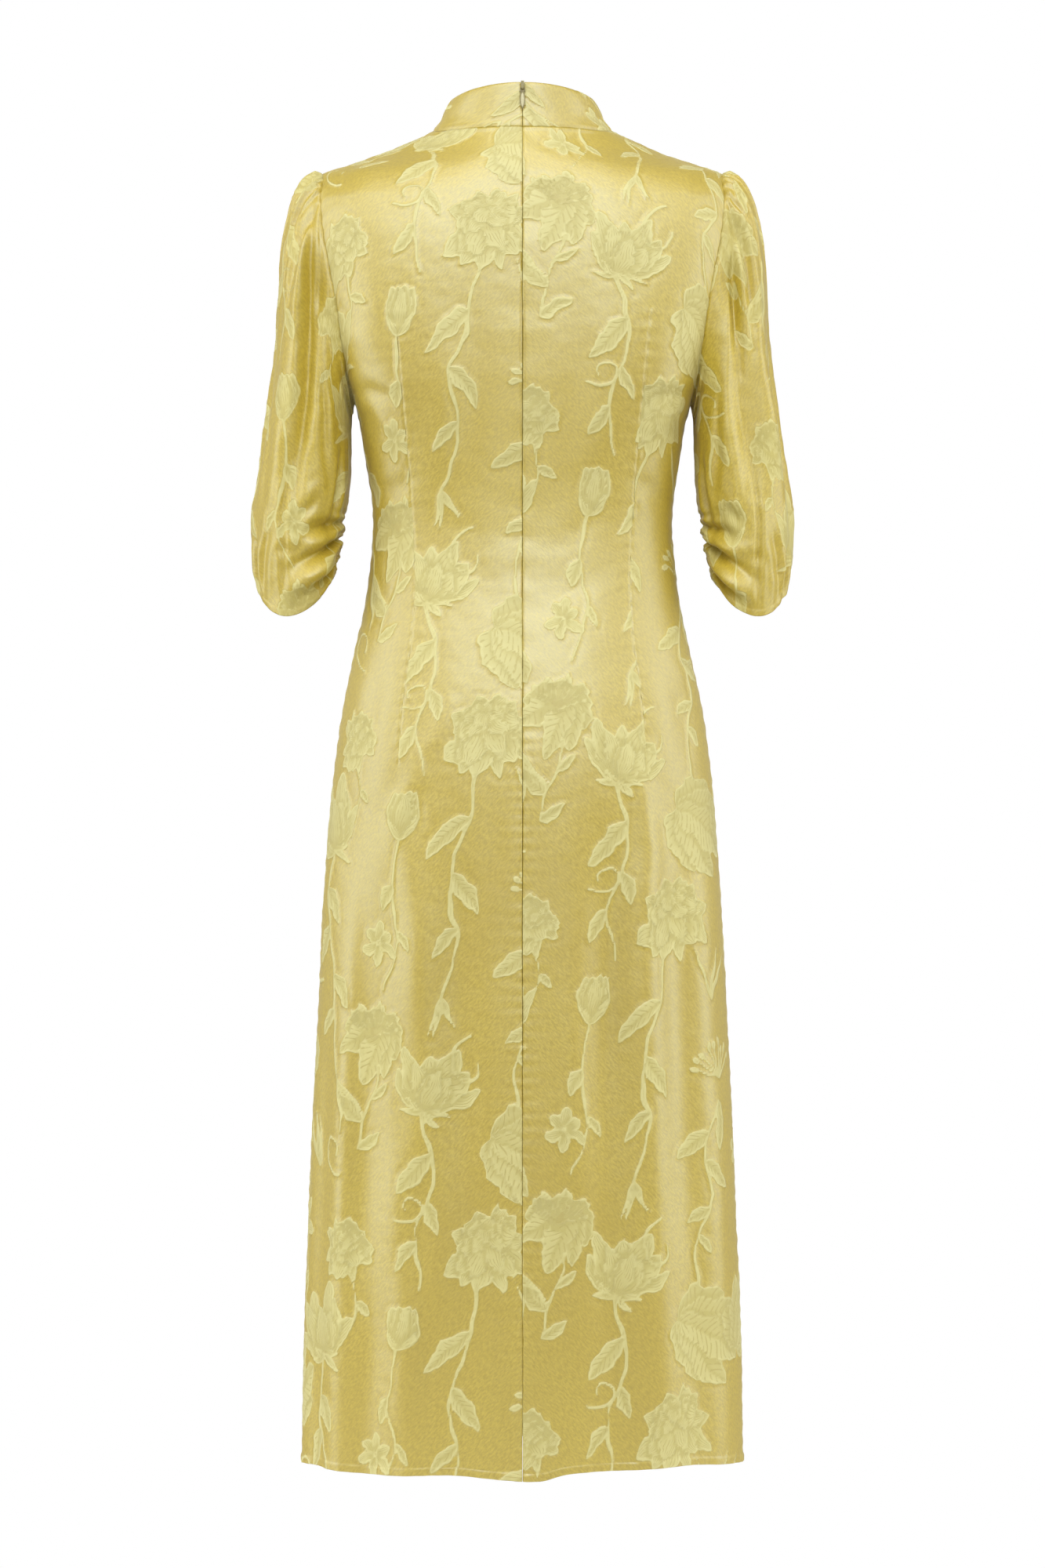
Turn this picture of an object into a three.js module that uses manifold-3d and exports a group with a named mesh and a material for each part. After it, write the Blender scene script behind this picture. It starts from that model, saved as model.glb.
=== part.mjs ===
// A midi dress of jacquard satin in the hollow form that it has when it is worn: two back panels,
// one front panel, a stand collar, two set-in elbow sleeves and a zip down the centre back.
// Millimetres, +Z up. The wearer faces -Y and the wearer's left is +X. The origin lies midway
// between the shoulders, at the middle height of the shoulder slope.

import * as THREE from 'three';
import { mergeVertices } from 'three/addons/utils/BufferGeometryUtils.js';
import Module from 'manifold-3d';

const { clamp, degToRad, lerp, radToDeg, smoothstep } = THREE.MathUtils;

// Walls and seams
const CLOTH = 1.6;
const COLLAR_WALL = 2.4;
const SEAM = 0.3;
const CENTRE_BACK_GAP = 0.4;
const ALMOST_ZERO = 1e-6;

// Heights
const HEM = -1186;
const UNDERARM = -232;
const YOKE = -110;
const SHOULDER_TIP = -23;
const NECK_SEAM = { side: 16, back: 9.4, front: -25 };
const COLLAR_RIM = { side: 43.5, back: 50, front: 14 };

// The body's sections. The level is the height at the side: half width, depth behind and in front
// of the shoulder line, and the power of the section's superellipse.
const BODY = [
  { level: NECK_SEAM.side, width: 81, back: 66, front: 63, power: 2 },
  { level: 12, width: 88.8, back: 68, front: 64, power: 1.8 },
  { level: 3.6, width: 108.6, back: 74, front: 66, power: 1.58 },
  { level: -5, width: 128.9, back: 80, front: 69, power: 1.52 },
  { level: -13.5, width: 152.7, back: 86, front: 72.5, power: 1.58 },
  { level: SHOULDER_TIP, width: 181, back: 91, front: 76, power: 1.7 },
  { level: -35, width: 190.5, back: 95, front: 80, power: 1.95 },
  { level: -50, width: 195.5, back: 98.5, front: 83.5, power: 2.2 },
  { level: -80, width: 198, back: 104, front: 91, power: 2.4 },
  { level: YOKE, width: 193.5, back: 107, front: 97, power: 2.5 },
  { level: -150, width: 179, back: 107.5, front: 106, power: 2.8 },
  { level: -180, width: 169.5, back: 105, front: 114, power: 2.9 },
  { level: -215, width: 157.5, back: 101.5, front: 121, power: 2.9 },
  { level: UNDERARM, width: 151.5, back: 99, front: 122, power: 2.8 },
  { level: -250, width: 147, back: 96, front: 120, power: 2.65 },
  { level: -290, width: 140.5, back: 88, front: 111, power: 2.4 },
  { level: -320, width: 136.5, back: 82, front: 103, power: 2.25 },
  { level: -350, width: 135.3, back: 79, front: 98, power: 2.2 },
  { level: -390, width: 139, back: 84, front: 98, power: 2.2 },
  { level: -420, width: 143.6, back: 90, front: 100, power: 2.15 },
  { level: -450, width: 150.1, back: 98, front: 103, power: 2.15 },
  { level: -505, width: 161.7, back: 110, front: 106, power: 2.1 },
  { level: -560, width: 169.6, back: 116.5, front: 108, power: 2.1 },
  { level: -620, width: 175.2, back: 117, front: 109, power: 2.05 },
  { level: -690, width: 180, back: 115.5, front: 109, power: 2.05 },
  { level: -790, width: 185.1, back: 115, front: 110, power: 2.05 },
  { level: -930, width: 192, back: 116, front: 113, power: 2.05 },
  { level: -1070, width: 197.3, back: 117.5, front: 116, power: 2.05 },
  { level: HEM, width: 199.5, back: 118, front: 118, power: 2.05 },
];

// Levels of the panels' rows below the armhole and above the shoulder tip
const SKIRT_LEVELS = [
  HEM, -1130, -1050, -960, -870, -780, -700, -630, -560, -500, -450, -400, -350, -300, -262,
];
const SHOULDER_LEVELS = [-10, 3, 11, NECK_SEAM.side];

// The armhole is an oval in side view, with more of it behind the shoulder line.
const ARMHOLE = { middle: -127.5, radius: 104.5, back: 62, front: 55 };
const ARMHOLE_KNOTS = [180, 166, 150, 134, 115, 96, 78, 60, 42, 25.2, 12.6, 0];

// Each back panel's fisheye dart: distance from the centre back at a height
const BACK_DART = [
  { z: -155, x: 113 },
  { z: -232, x: 106.5 },
  { z: -312, x: 100 },
  { z: -360, x: 96.8 },
  { z: -404, x: 95.8 },
  { z: -452, x: 99 },
  { z: -504, x: 106 },
  { z: -558, x: 110 },
];
// Each of the front's waist darts
const FRONT_DART = [
  { z: -270, x: 92 },
  { z: -370, x: 86 },
  { z: -520, x: 94 },
];
const DART_GROOVE = 0.7;
const COLUMNS = { centreToDart: 5, dartToEdge: 7 };

// Soft folds of the body. The angle is 0 at the centre back, 90 at the left side and 180 at the
// centre front. A fold is a ridge where its depth is positive, it starts at top and is full at full.
const BODY_FOLDS = [
  { angle: 16, spread: 9, depth: -2.5, top: -560, full: -760 },
  { angle: 30, spread: 8, depth: 4, top: -540, full: -700 },
  { angle: 43, spread: 7, depth: -4, top: -560, full: -800 },
  { angle: 55, spread: 7, depth: 4.5, top: -520, full: -900 },
  { angle: 69, spread: 7, depth: -3, top: -600, full: -1000 },
  { angle: -9, spread: 7, depth: 2, top: -600, full: -900 },
  { angle: -23, spread: 8, depth: -5, top: -560, full: -760 },
  { angle: -37, spread: 8, depth: 4, top: -540, full: -720 },
  { angle: -50, spread: 7, depth: -3, top: -580, full: -850 },
  { angle: -64, spread: 8, depth: 3, top: -560, full: -900 },
  { angle: 109, spread: 8, depth: -3, top: -560, full: -900 },
  { angle: 124, spread: 8, depth: 4, top: -520, full: -760 },
  { angle: 141, spread: 9, depth: -4, top: -540, full: -780 },
  { angle: 160, spread: 9, depth: 3, top: -560, full: -860 },
  { angle: 179, spread: 9, depth: -3, top: -600, full: -900 },
  { angle: -162, spread: 9, depth: 4, top: -540, full: -760 },
  { angle: -143, spread: 9, depth: -4, top: -540, full: -800 },
  { angle: -126, spread: 8, depth: 3, top: -520, full: -820 },
  { angle: -108, spread: 8, depth: -3, top: -580, full: -900 },
];

// How far the hem rises or drops round the skirt
const HEM_WAVES = [
  { angle: -180, rise: 1 },
  { angle: -150, rise: 4 },
  { angle: -120, rise: 0 },
  { angle: -90, rise: -1 },
  { angle: -67, rise: 4 },
  { angle: -43, rise: 8.5 },
  { angle: -28, rise: 7.5 },
  { angle: -11, rise: 6.5 },
  { angle: -4, rise: 0.5 },
  { angle: 5, rise: 1.5 },
  { angle: 18, rise: 4.5 },
  { angle: 40, rise: 1.5 },
  { angle: 65, rise: 2 },
  { angle: 90, rise: -1 },
  { angle: 120, rise: 3 },
  { angle: 150, rise: 0 },
  { angle: 180, rise: 1 },
];
const HEM_WAVE_HEIGHT = 90;

// The collar between the neck seam and its rim
const COLLAR = [
  { rise: 0, width: 81, back: 66, front: 63 },
  { rise: 0.17, width: 77.7, back: 64.6, front: 61.6 },
  { rise: 0.34, width: 74, back: 63.5, front: 60.6 },
  { rise: 0.6, width: 71.2, back: 62, front: 59.5 },
  { rise: 0.85, width: 67.5, back: 60.8, front: 58.5 },
  { rise: 1, width: 64, back: 60, front: 58 },
];
const COLLAR_RISES = [0, 0.12, 0.3, 0.58, 0.82, 1];
const COLLAR_SLIT = { top: 2.4, from: 0.55, to: 0.8 };

// The sleeve's rings, from the armhole to the hem. Each is an oval between an outer and an inner
// point, set deep before and behind, and its hem end droops before and behind.
const SLEEVE = [
  { station: 0, outX: 181, outZ: -23, inX: 151, inZ: -232, back: 62, front: 55, mid: 0, droop: 0 },
  { station: 1, outX: 189, outZ: -25, inX: 153, inZ: -236, back: 62, front: 56, mid: 0, droop: 0 },
  { station: 2, outX: 199, outZ: -33, inX: 154.5, inZ: -243, back: 62, front: 57, mid: 0, droop: 0 },
  { station: 3, outX: 208, outZ: -50, inX: 155, inZ: -252, back: 62, front: 59, mid: 0, droop: 0 },
  { station: 4, outX: 215, outZ: -77, inX: 155, inZ: -262, back: 62, front: 60, mid: 0, droop: 0 },
  { station: 5, outX: 219.5, outZ: -107, inX: 155, inZ: -272, back: 62, front: 60, mid: -1, droop: 0 },
  { station: 6, outX: 222, outZ: -140, inX: 155.3, inZ: -282, back: 61, front: 60, mid: -2, droop: 0 },
  { station: 7, outX: 224, outZ: -175, inX: 155.7, inZ: -292, back: 61, front: 60, mid: -3, droop: 0 },
  { station: 8, outX: 228, outZ: -210, inX: 156.3, inZ: -302, back: 60, front: 60, mid: -4, droop: 0 },
  { station: 9, outX: 233, outZ: -245, inX: 157.2, inZ: -312, back: 59, front: 59, mid: -5, droop: 0 },
  { station: 10, outX: 238, outZ: -280, inX: 158.5, inZ: -322, back: 58, front: 58, mid: -6, droop: 1 },
  { station: 11, outX: 243, outZ: -310, inX: 160, inZ: -332, back: 58, front: 57, mid: -7, droop: 3 },
  { station: 12, outX: 246, outZ: -333, inX: 161.5, inZ: -342, back: 57, front: 56, mid: -8, droop: 7 },
  { station: 13, outX: 246, outZ: -350, inX: 163, inZ: -351, back: 56, front: 55, mid: -9, droop: 13 },
  { station: 14, outX: 245.5, outZ: -365, inX: 165, inZ: -360, back: 54, front: 53, mid: -10, droop: 21 },
  { station: 15, outX: 244, outZ: -378, inX: 168, inZ: -369, back: 52, front: 51, mid: -11, droop: 31 },
  { station: 16, outX: 241, outZ: -390, inX: 172, inZ: -378, back: 50, front: 49, mid: -12, droop: 40.6 },
];
const SLEEVE_END = 16;
const FRONT_DROOP_SHARE = 0.6;
const DROOP_POWER = 1.3;
const SLEEVE_UPPER_STATIONS = [0, 0.6, 1.3, 2.2, 3.2, 4.3, 5.5, 6.8, 8.2, 9.4];
const CAP_BLEND = 2;

// Small pleats of the gathered sleeve cap, on each side of the shoulder
const PLEAT = { pitch: 8.4, reach: 42, height: 1.6, full: 1, fade: 3, end: 6.5 };
const SLEEVE_LOWER_ANGLES = [60, 78, 96, 115, 134, 150, 166];

// Gathers along the underarm seam of the sleeve's lower part
const RUCHE = { folds: 5, rowsPerFold: 3, start: 10, height: 2.4, reach: 75 };

// Long soft folds of the sleeve. The angle is 0 at the outer edge, 90 behind and 180 underarm.
const SLEEVE_FOLDS = [
  { angle: 54, spread: 15, depth: 6, start: 0.8, full: 3.5, fade: 9, end: 12 },
  { angle: 80, spread: 13, depth: -8, start: 0.8, full: 3, fade: 8, end: 12 },
  { angle: 112, spread: 14, depth: 3, start: 3, full: 6, fade: 10, end: 13 },
  { angle: 30, spread: 12, depth: -3, start: 5, full: 8, fade: 12, end: 15 },
  { angle: 120, spread: 22, depth: 4, start: 12, full: 13.6, fade: 14.6, end: 16 },
  { angle: 128, spread: 20, depth: -4, start: 10.6, full: 11.8, fade: 12.2, end: 13.4 },
  { angle: -55, spread: 15, depth: 4, start: 1, full: 4, fade: 9, end: 12 },
  { angle: -80, spread: 14, depth: -5, start: 1, full: 4, fade: 8, end: 12 },
  { angle: -118, spread: 20, depth: 3, start: 11, full: 13, fade: 15, end: 16 },
];

// Zip: the tape with its coil inside the centre back, and the slider and pull outside
const TAPE = { bottom: -505, topShare: 0.6, width: 22, thick: 0.8, coil: 4.4, coilThick: 2.2, coilEdge: 0.4 };
const SLIDER = { rise: 0.84, bottom: -3, top: 7.2 };
const PLATE = { width: 2.8, from: 0.3, to: 1.1 };
const BRIDGE = { width: 1.4, shorter: 0.6, top: 5, overlap: 0.2 };
const SLIDER_BODY = { width: 6.8, thick: 2.6, shorter: 0.4 };
const SLOT = { width: 2.4, bottom: -3.6 };
const HINGE = { stand: 2.2, pin: 0.45, bore: 0.75, lug: 1.65, lugWidth: 1.8, width: 4.4 };
const ARM = { width: 0.7, top: 0.5, overlap: 0.2 };
const CROSSBAR = { top: -1.95, bottom: -3.3, overlap: 0.3 };
const PULL = { thick: 1, neck: 2.2, widest: 4.5, widestAt: -11.5, curve: 4, tip: -18.5 };

// A smooth curve through one column of a table, held flat beyond its ends
function column(table, key, name) {
  const rows = [...table].sort((a, b) => a[key] - b[key]);
  const last = rows.length - 1;
  const slope = rows.map((_, i) => {
    const below = rows[Math.max(i - 1, 0)];
    const above = rows[Math.min(i + 1, last)];
    return (above[name] - below[name]) / (above[key] - below[key]);
  });
  return (place) => {
    const at = clamp(place, rows[0][key], rows[last][key]);
    const i = clamp(rows.findIndex((row) => row[key] >= at) - 1, 0, last - 1);
    const length = rows[i + 1][key] - rows[i][key];
    const t = (at - rows[i][key]) / length;
    const start = (1 + 2 * t) * (1 - t) ** 2 * rows[i][name] + t * (1 - t) ** 2 * length * slope[i];
    const end = t * t * (3 - 2 * t) * rows[i + 1][name] + t * t * (t - 1) * length * slope[i + 1];
    return start + end;
  };
}

const signedPower = (value, power) => Math.sign(value) * Math.abs(value) ** power;

// The difference between two angles in degrees, from -180 to 180
const turn = (a, b) => ((a - b + 540) % 360) - 180;

const bodyWidth = column(BODY, 'level', 'width');
const bodyBack = column(BODY, 'level', 'back');
const bodyFront = column(BODY, 'level', 'front');
const bodyPower = column(BODY, 'level', 'power');
const hemRise = column(HEM_WAVES, 'angle', 'rise');
const isBack = (angle) => Math.cos(angle) >= 0;
const bodyDepth = (angle, level) => (isBack(angle) ? bodyBack(level) : bodyFront(level));

// The heights of the neck seam and the collar's rim, for a share of the way from the side of the
// neck to its back or front
function neckHeight(behind, reach) {
  const bent = behind ? 1 - (1 - reach) ** 2 : reach ** 1.5;
  return lerp(NECK_SEAM.side, behind ? NECK_SEAM.back : NECK_SEAM.front, bent);
}

const rimHeight = (behind, reach) =>
  lerp(COLLAR_RIM.side, behind ? COLLAR_RIM.back : COLLAR_RIM.front, reach ** 2);

// Levels lie flat up to the yoke line, and tilt above it until they meet the neck seam.
function bodyHeight(angle, level) {
  if (level > YOKE) {
    const reach = Math.abs(Math.cos(angle)) ** (2 / bodyPower(level));
    return lerp(YOKE, neckHeight(isBack(angle), reach), (level - YOKE) / (NECK_SEAM.side - YOKE));
  }
  const nearHem = clamp(1 - (level - HEM) / HEM_WAVE_HEIGHT, 0, 1);
  return level + hemRise(turn(radToDeg(angle), 0)) * nearHem;
}

function bodyFold(angle, level) {
  const degrees = radToDeg(angle);
  return BODY_FOLDS.reduce((sum, fold) => {
    const across = Math.exp(-((turn(degrees, fold.angle) / fold.spread) ** 2));
    return sum + fold.depth * across * (1 - smoothstep(level, fold.full, fold.top));
  }, 0);
}

// A point of the body's outer surface. The angle is 0 at the centre back and grows to the left.
function bodyPoint(angle, level) {
  const width = bodyWidth(level);
  const depth = bodyDepth(angle, level);
  const bend = 2 / bodyPower(level);
  const x = width * signedPower(Math.sin(angle), bend);
  const y = depth * signedPower(Math.cos(angle), bend);
  const outward = new THREE.Vector3(x / width ** 2, y / depth ** 2, 0).normalize();
  const point = new THREE.Vector3(x, y, bodyHeight(angle, level));
  return point.addScaledVector(outward, bodyFold(angle, level));
}

// The direction out of a surface given as a function of an angle and a height, which ends at top
function surfaceNormal(surface, angle, height, step, top) {
  const aside = degToRad(1);
  const across = surface(angle + aside, height).sub(surface(angle - aside, height));
  const up = surface(angle, Math.min(height + step, top)).sub(surface(angle, height - step));
  return up.cross(across).normalize();
}

const bodyNormal = (angle, level) => surfaceNormal(bodyPoint, angle, level, 1, NECK_SEAM.side);

// The angle at which a level of the body reaches a distance to the side, or behind or in front
const angleAtX = (x, level) => Math.asin((x / bodyWidth(level)) ** (bodyPower(level) / 2));
function angleAtY(y, level) {
  const depth = y > 0 ? bodyBack(level) : bodyFront(level);
  const cosine = (Math.abs(y) / depth) ** (bodyPower(level) / 2);
  return y > 0 ? Math.acos(cosine) : Math.PI - Math.acos(cosine);
}

// Where the armhole's edge lies on the body: its angle and level for a turn round the armhole,
// which is 0 at the shoulder tip, positive behind and negative in front
function armholeEdge(round) {
  const z = ARMHOLE.middle + ARMHOLE.radius * Math.cos(degToRad(round));
  const halfDepth = round > 0 ? ARMHOLE.back : ARMHOLE.front;
  const y = halfDepth * Math.sin(degToRad(round));
  const edgeY = Math.abs(y) < SEAM / 2 ? (Math.sign(round) * SEAM) / 2 : y;
  let angle = Math.PI / 2;
  let level = z;
  for (let pass = 0; pass < 12; pass += 1) {
    const reach = Math.abs(edgeY) / bodyDepth(angle, level);
    const share = (z - YOKE) / (neckHeight(edgeY > 0, reach) - YOKE);
    level = z > YOKE ? lerp(YOKE, NECK_SEAM.side, share) : z;
    angle = angleAtY(edgeY, level);
  }
  return { angle, level };
}

// A point of the armhole's edge, straight between its knots
function armholePoint(round) {
  const side = Math.sign(round) || 1;
  const turned = Math.abs(round);
  const after = Math.max(ARMHOLE_KNOTS.findIndex((knot) => knot <= turned), 1);
  const [high, low] = [ARMHOLE_KNOTS[after - 1], ARMHOLE_KNOTS[after]];
  const [start, end] = [low, high].map((knot) => armholeEdge(side * Math.max(knot, ALMOST_ZERO)));
  const from = bodyPoint(start.angle, start.level);
  const to = bodyPoint(end.angle, end.level);
  return from.lerp(to, (turned - low) / (high - low));
}

// The rows of a panel, from the hem to the neck seam. Each row is a level and the angle of the
// panel's edge, which is the armhole, or the side seam or shoulder seam that the panels share.
function panelRows(side) {
  const edgeY = (side * SEAM) / 2;
  const seamRow = (level) => ({ level, edge: angleAtY(edgeY, level), shared: true });
  const armholeRow = (round) => {
    const { angle, level } = armholeEdge(side * Math.max(round, ALMOST_ZERO));
    return { level, edge: angle };
  };
  const below = SKIRT_LEVELS.map(seamRow);
  const above = SHOULDER_LEVELS.map(seamRow);
  return [...below, ...ARMHOLE_KNOTS.map(armholeRow), ...above];
}

const backDartX = column(BACK_DART, 'z', 'x');
const frontDartX = column(FRONT_DART, 'z', 'x');

// The angle of the dart from the centre line, and whether a level lies within the dart
function dartAt(level, side) {
  const table = side > 0 ? BACK_DART : FRONT_DART;
  const dartX = side > 0 ? backDartX : frontDartX;
  const held = clamp(level, table[table.length - 1].z, table[0].z);
  const angle = angleAtX(dartX(held), held);
  return { angle: side > 0 ? angle : Math.PI - angle, sewn: held === level };
}

// Half a row of a panel, from the centre line to its edge on the left side
function halfRow({ level, edge, shared }, side, startX) {
  const start = side > 0 ? angleAtX(startX, level) : Math.PI;
  const dart = dartAt(level, side);
  const angles = [];
  for (let i = 0; i < COLUMNS.centreToDart; i += 1) {
    angles.push({ angle: lerp(start, dart.angle, i / COLUMNS.centreToDart), groove: 0 });
  }
  for (let i = 0; i <= COLUMNS.dartToEdge; i += 1) {
    const groove = i === 0 && dart.sewn ? DART_GROOVE : 0;
    angles.push({ angle: lerp(dart.angle, edge, i / COLUMNS.dartToEdge), groove });
  }
  const last = angles.length - 1;
  return angles.map((place, i) => ({ ...place, level, shared: i === last && shared }));
}

const mirrored = (place) => ({ ...place, angle: -place.angle });

// Closes a grid of outer points and the matching grid of inner points into one wall
function wall({ outer, inner }, loop = false) {
  const rows = outer.length;
  const columns = outer[0].length;
  const index = [];
  const at = (layer, row, col) => (layer * rows + row) * columns + (col % columns);
  const quad = (a, b, c, d) => index.push(a, b, c, a, c, d);
  const edge = columns - 1;
  const top = rows - 1;
  for (let col = 0; col < (loop ? columns : edge); col += 1) {
    for (let row = 0; row < top; row += 1) {
      quad(at(0, row, col), at(0, row, col + 1), at(0, row + 1, col + 1), at(0, row + 1, col));
      quad(at(1, row, col), at(1, row + 1, col), at(1, row + 1, col + 1), at(1, row, col + 1));
    }
    quad(at(0, 0, col), at(1, 0, col), at(1, 0, col + 1), at(0, 0, col + 1));
    quad(at(0, top, col), at(0, top, col + 1), at(1, top, col + 1), at(1, top, col));
  }
  for (let row = 0; row < top && !loop; row += 1) {
    quad(at(0, row, 0), at(0, row + 1, 0), at(1, row + 1, 0), at(1, row, 0));
    quad(at(0, row, edge), at(1, row, edge), at(1, row + 1, edge), at(0, row + 1, edge));
  }
  const points = [...outer.flat(), ...inner.flat()];
  if (signedVolume(points, index) < 0) {
    index.reverse();
  }
  const geometry = new THREE.BufferGeometry().setFromPoints(points);
  geometry.setIndex(index);
  return geometry;
}

function signedVolume(points, index) {
  let volume = 0;
  for (let i = 0; i < index.length; i += 3) {
    const [a, b, c] = [points[index[i]], points[index[i + 1]], points[index[i + 2]]];
    volume += a.dot(new THREE.Vector3().crossVectors(b, c)) / 6;
  }
  return volume;
}

// The outward directions of a grid of points, from its neighbours along and across
function gridNormals(grid, loop, towards) {
  const top = grid.length - 1;
  return grid.map((row, r) =>
    row.map((point, c) => {
      const right = loop ? (c + 1) % row.length : Math.min(c + 1, row.length - 1);
      const left = loop ? (c + row.length - 1) % row.length : Math.max(c - 1, 0);
      const across = row[right].clone().sub(row[left]);
      const along = grid[Math.min(r + 1, top)][c].clone().sub(grid[Math.max(r - 1, 0)][c]);
      return across.cross(along).normalize().multiplyScalar(towards);
    }),
  );
}

const movedIn = (grid, normals, depth) =>
  grid.map((row, r) => row.map((point, c) => point.clone().addScaledVector(normals[r][c], -depth)));

// A panel's outer and inner points from its rows of places on the body. At a seam that two panels
// share, both walls are cut square to the seam's plane.
function panelLayers(rows) {
  const moved = ({ angle, level, groove, shared }, depth) => {
    const normal = bodyNormal(angle, level);
    if (shared) {
      normal.setY(0).normalize();
    }
    return bodyPoint(angle, level).addScaledVector(normal, -depth - groove);
  };
  const outer = rows.map((row) => row.map((place) => moved(place, 0)));
  const inner = rows.map((row) => row.map((place) => moved(place, CLOTH)));
  return { outer, inner };
}

function backLayers(mirror) {
  const rows = panelRows(1).map((row) => halfRow(row, 1, CENTRE_BACK_GAP / 2));
  return panelLayers(mirror ? rows.map((row) => row.map(mirrored)) : rows);
}

function frontLayers() {
  const rows = panelRows(-1).map((row) => {
    const left = halfRow(row, -1, 0);
    return [...left.toReversed(), ...left.slice(1).map(mirrored)];
  });
  return panelLayers(rows);
}

const collarWidth = column(COLLAR, 'rise', 'width');
const collarBack = column(COLLAR, 'rise', 'back');
const collarFront = column(COLLAR, 'rise', 'front');

// A point of the collar's outer surface, with the rise 0 at the neck seam and 1 at the rim
function collarPoint(angle, rise) {
  const depth = isBack(angle) ? collarBack(rise) : collarFront(rise);
  const reach = Math.abs(Math.cos(angle));
  const bottom = neckHeight(isBack(angle), reach) + SEAM;
  const height = lerp(bottom, rimHeight(isBack(angle), reach), rise);
  return new THREE.Vector3(collarWidth(rise) * Math.sin(angle), depth * Math.cos(angle), height);
}

// The collar's columns stand over those of the panels' neck edges, from one side of the slit to the
// other.
function collarAngles() {
  const neckRow = (side, startX) =>
    halfRow(panelRows(side).pop(), side, startX).map(({ angle }) => angle);
  const behind = neckRow(1, CENTRE_BACK_GAP / 2).slice(1, -1);
  const before = neckRow(-1, 0).toReversed().slice(1);
  const left = [...behind, Math.PI / 2, ...before];
  return [...left, ...left.slice(0, -1).toReversed().map((angle) => 2 * Math.PI - angle)];
}

function collarLayers() {
  const angles = collarAngles();
  const outer = COLLAR_RISES.map((rise) => {
    const open = smoothstep(rise, COLLAR_SLIT.from, COLLAR_SLIT.to);
    const gap = lerp(CENTRE_BACK_GAP, COLLAR_SLIT.top, open);
    const start = Math.asin(gap / 2 / collarWidth(rise));
    return [start, ...angles, 2 * Math.PI - start].map((angle) => collarPoint(angle, rise));
  });
  const normals = gridNormals(outer, false, -1);
  return { outer, inner: movedIn(outer, normals, COLLAR_WALL) };
}

const sleeveAt = {};
for (const name of Object.keys(SLEEVE[0])) {
  sleeveAt[name] = column(SLEEVE, 'station', name);
}

// A fold's strength along the sleeve: it rises from start to full and falls from fade to end
const alongSleeve = (fold, station) =>
  smoothstep(station, fold.start, fold.full) * (1 - smoothstep(station, fold.fade, fold.end));

// The pleats start at the armhole seam itself, so their strength begins at the first ring.
function pleat(round, station) {
  const across = Math.cos((2 * Math.PI * round) / PLEAT.pitch);
  const within = Math.abs(round) < PLEAT.reach - PLEAT.pitch / 4 ? 1 : 0;
  const rise = clamp(station / PLEAT.full, 0, 1);
  return PLEAT.height * across * within * rise * (1 - smoothstep(station, PLEAT.fade, PLEAT.end));
}

function ruche(round, station) {
  const fromSeam = Math.abs(turn(round, 180));
  const phase = ((station - RUCHE.start) / (SLEEVE_END - RUCHE.start)) * RUCHE.folds;
  const across = 1 - smoothstep(fromSeam, RUCHE.reach / 4, RUCHE.reach);
  const started = smoothstep(station, RUCHE.start - 0.4, RUCHE.start + 1);
  return (RUCHE.height / 2) * Math.cos(2 * Math.PI * phase) * across * started;
}

function sleeveFold(round, station) {
  return SLEEVE_FOLDS.reduce((sum, fold) => {
    const across = Math.exp(-((turn(round, fold.angle) / fold.spread) ** 2));
    return sum + fold.depth * across * alongSleeve(fold, station);
  }, 0);
}

// A point of a plain sleeve ring, before its folds and before it meets the armhole
function sleeveRing(round, station) {
  const angle = degToRad(round);
  const behind = Math.sin(angle) >= 0;
  const names = ['outX', 'outZ', 'inX', 'inZ', 'mid'];
  const [outX, outZ, inX, inZ, mid] = names.map((name) => sleeveAt[name](station));
  const outer = new THREE.Vector3(outX, mid, outZ);
  const inner = new THREE.Vector3(inX, mid, inZ);
  const middle = outer.clone().lerp(inner, 0.5);
  const depth = behind ? sleeveAt.back(station) : sleeveAt.front(station);
  const point = middle.clone().addScaledVector(outer.clone().sub(middle), Math.cos(angle));
  point.y += depth * Math.sin(angle);
  const droop = sleeveAt.droop(station) * (behind ? 1 : FRONT_DROOP_SHARE);
  point.z -= droop * Math.abs(Math.sin(angle)) ** DROOP_POWER;
  return { point, outward: point.clone().sub(middle).normalize() };
}

function sleevePoint(round, station) {
  const { point, outward } = sleeveRing(round, station);
  const seam = armholePoint(round).add(new THREE.Vector3(SEAM, 0, 0));
  const toSeam = seam.sub(sleeveRing(round, 0).point);
  point.addScaledVector(toSeam, 1 - smoothstep(station, 0, CAP_BLEND));
  const raised = pleat(round, station) + ruche(round, station) + sleeveFold(round, station);
  return point.addScaledVector(outward, raised);
}

function sleeveRounds() {
  const step = PLEAT.pitch / 2;
  const half = [];
  for (let round = step; round < PLEAT.reach + step / 2; round += step) {
    half.push(round);
  }
  half.push(...SLEEVE_LOWER_ANGLES);
  return [0, ...half, 180, ...half.toReversed().map((round) => -round)];
}

function sleeveStations() {
  const rows = RUCHE.folds * RUCHE.rowsPerFold;
  const lower = [];
  for (let i = 0; i <= rows; i += 1) {
    lower.push(lerp(RUCHE.start, SLEEVE_END, i / rows));
  }
  return [...SLEEVE_UPPER_STATIONS, ...lower];
}

function sleeve(side) {
  const rounds = sleeveRounds();
  const outer = sleeveStations().map((station) => rounds.map((round) => sleevePoint(round, station)));
  const normals = gridNormals(outer, true, -1);
  normals[0].forEach((normal) => normal.setX(0).normalize());
  const inner = movedIn(outer, normals, CLOTH);
  [...outer.flat(), ...inner.flat()].forEach((point) => point.setX(point.x * side));
  return wall({ outer, inner }, true);
}

const wasm = await Module();
wasm.setup();

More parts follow.
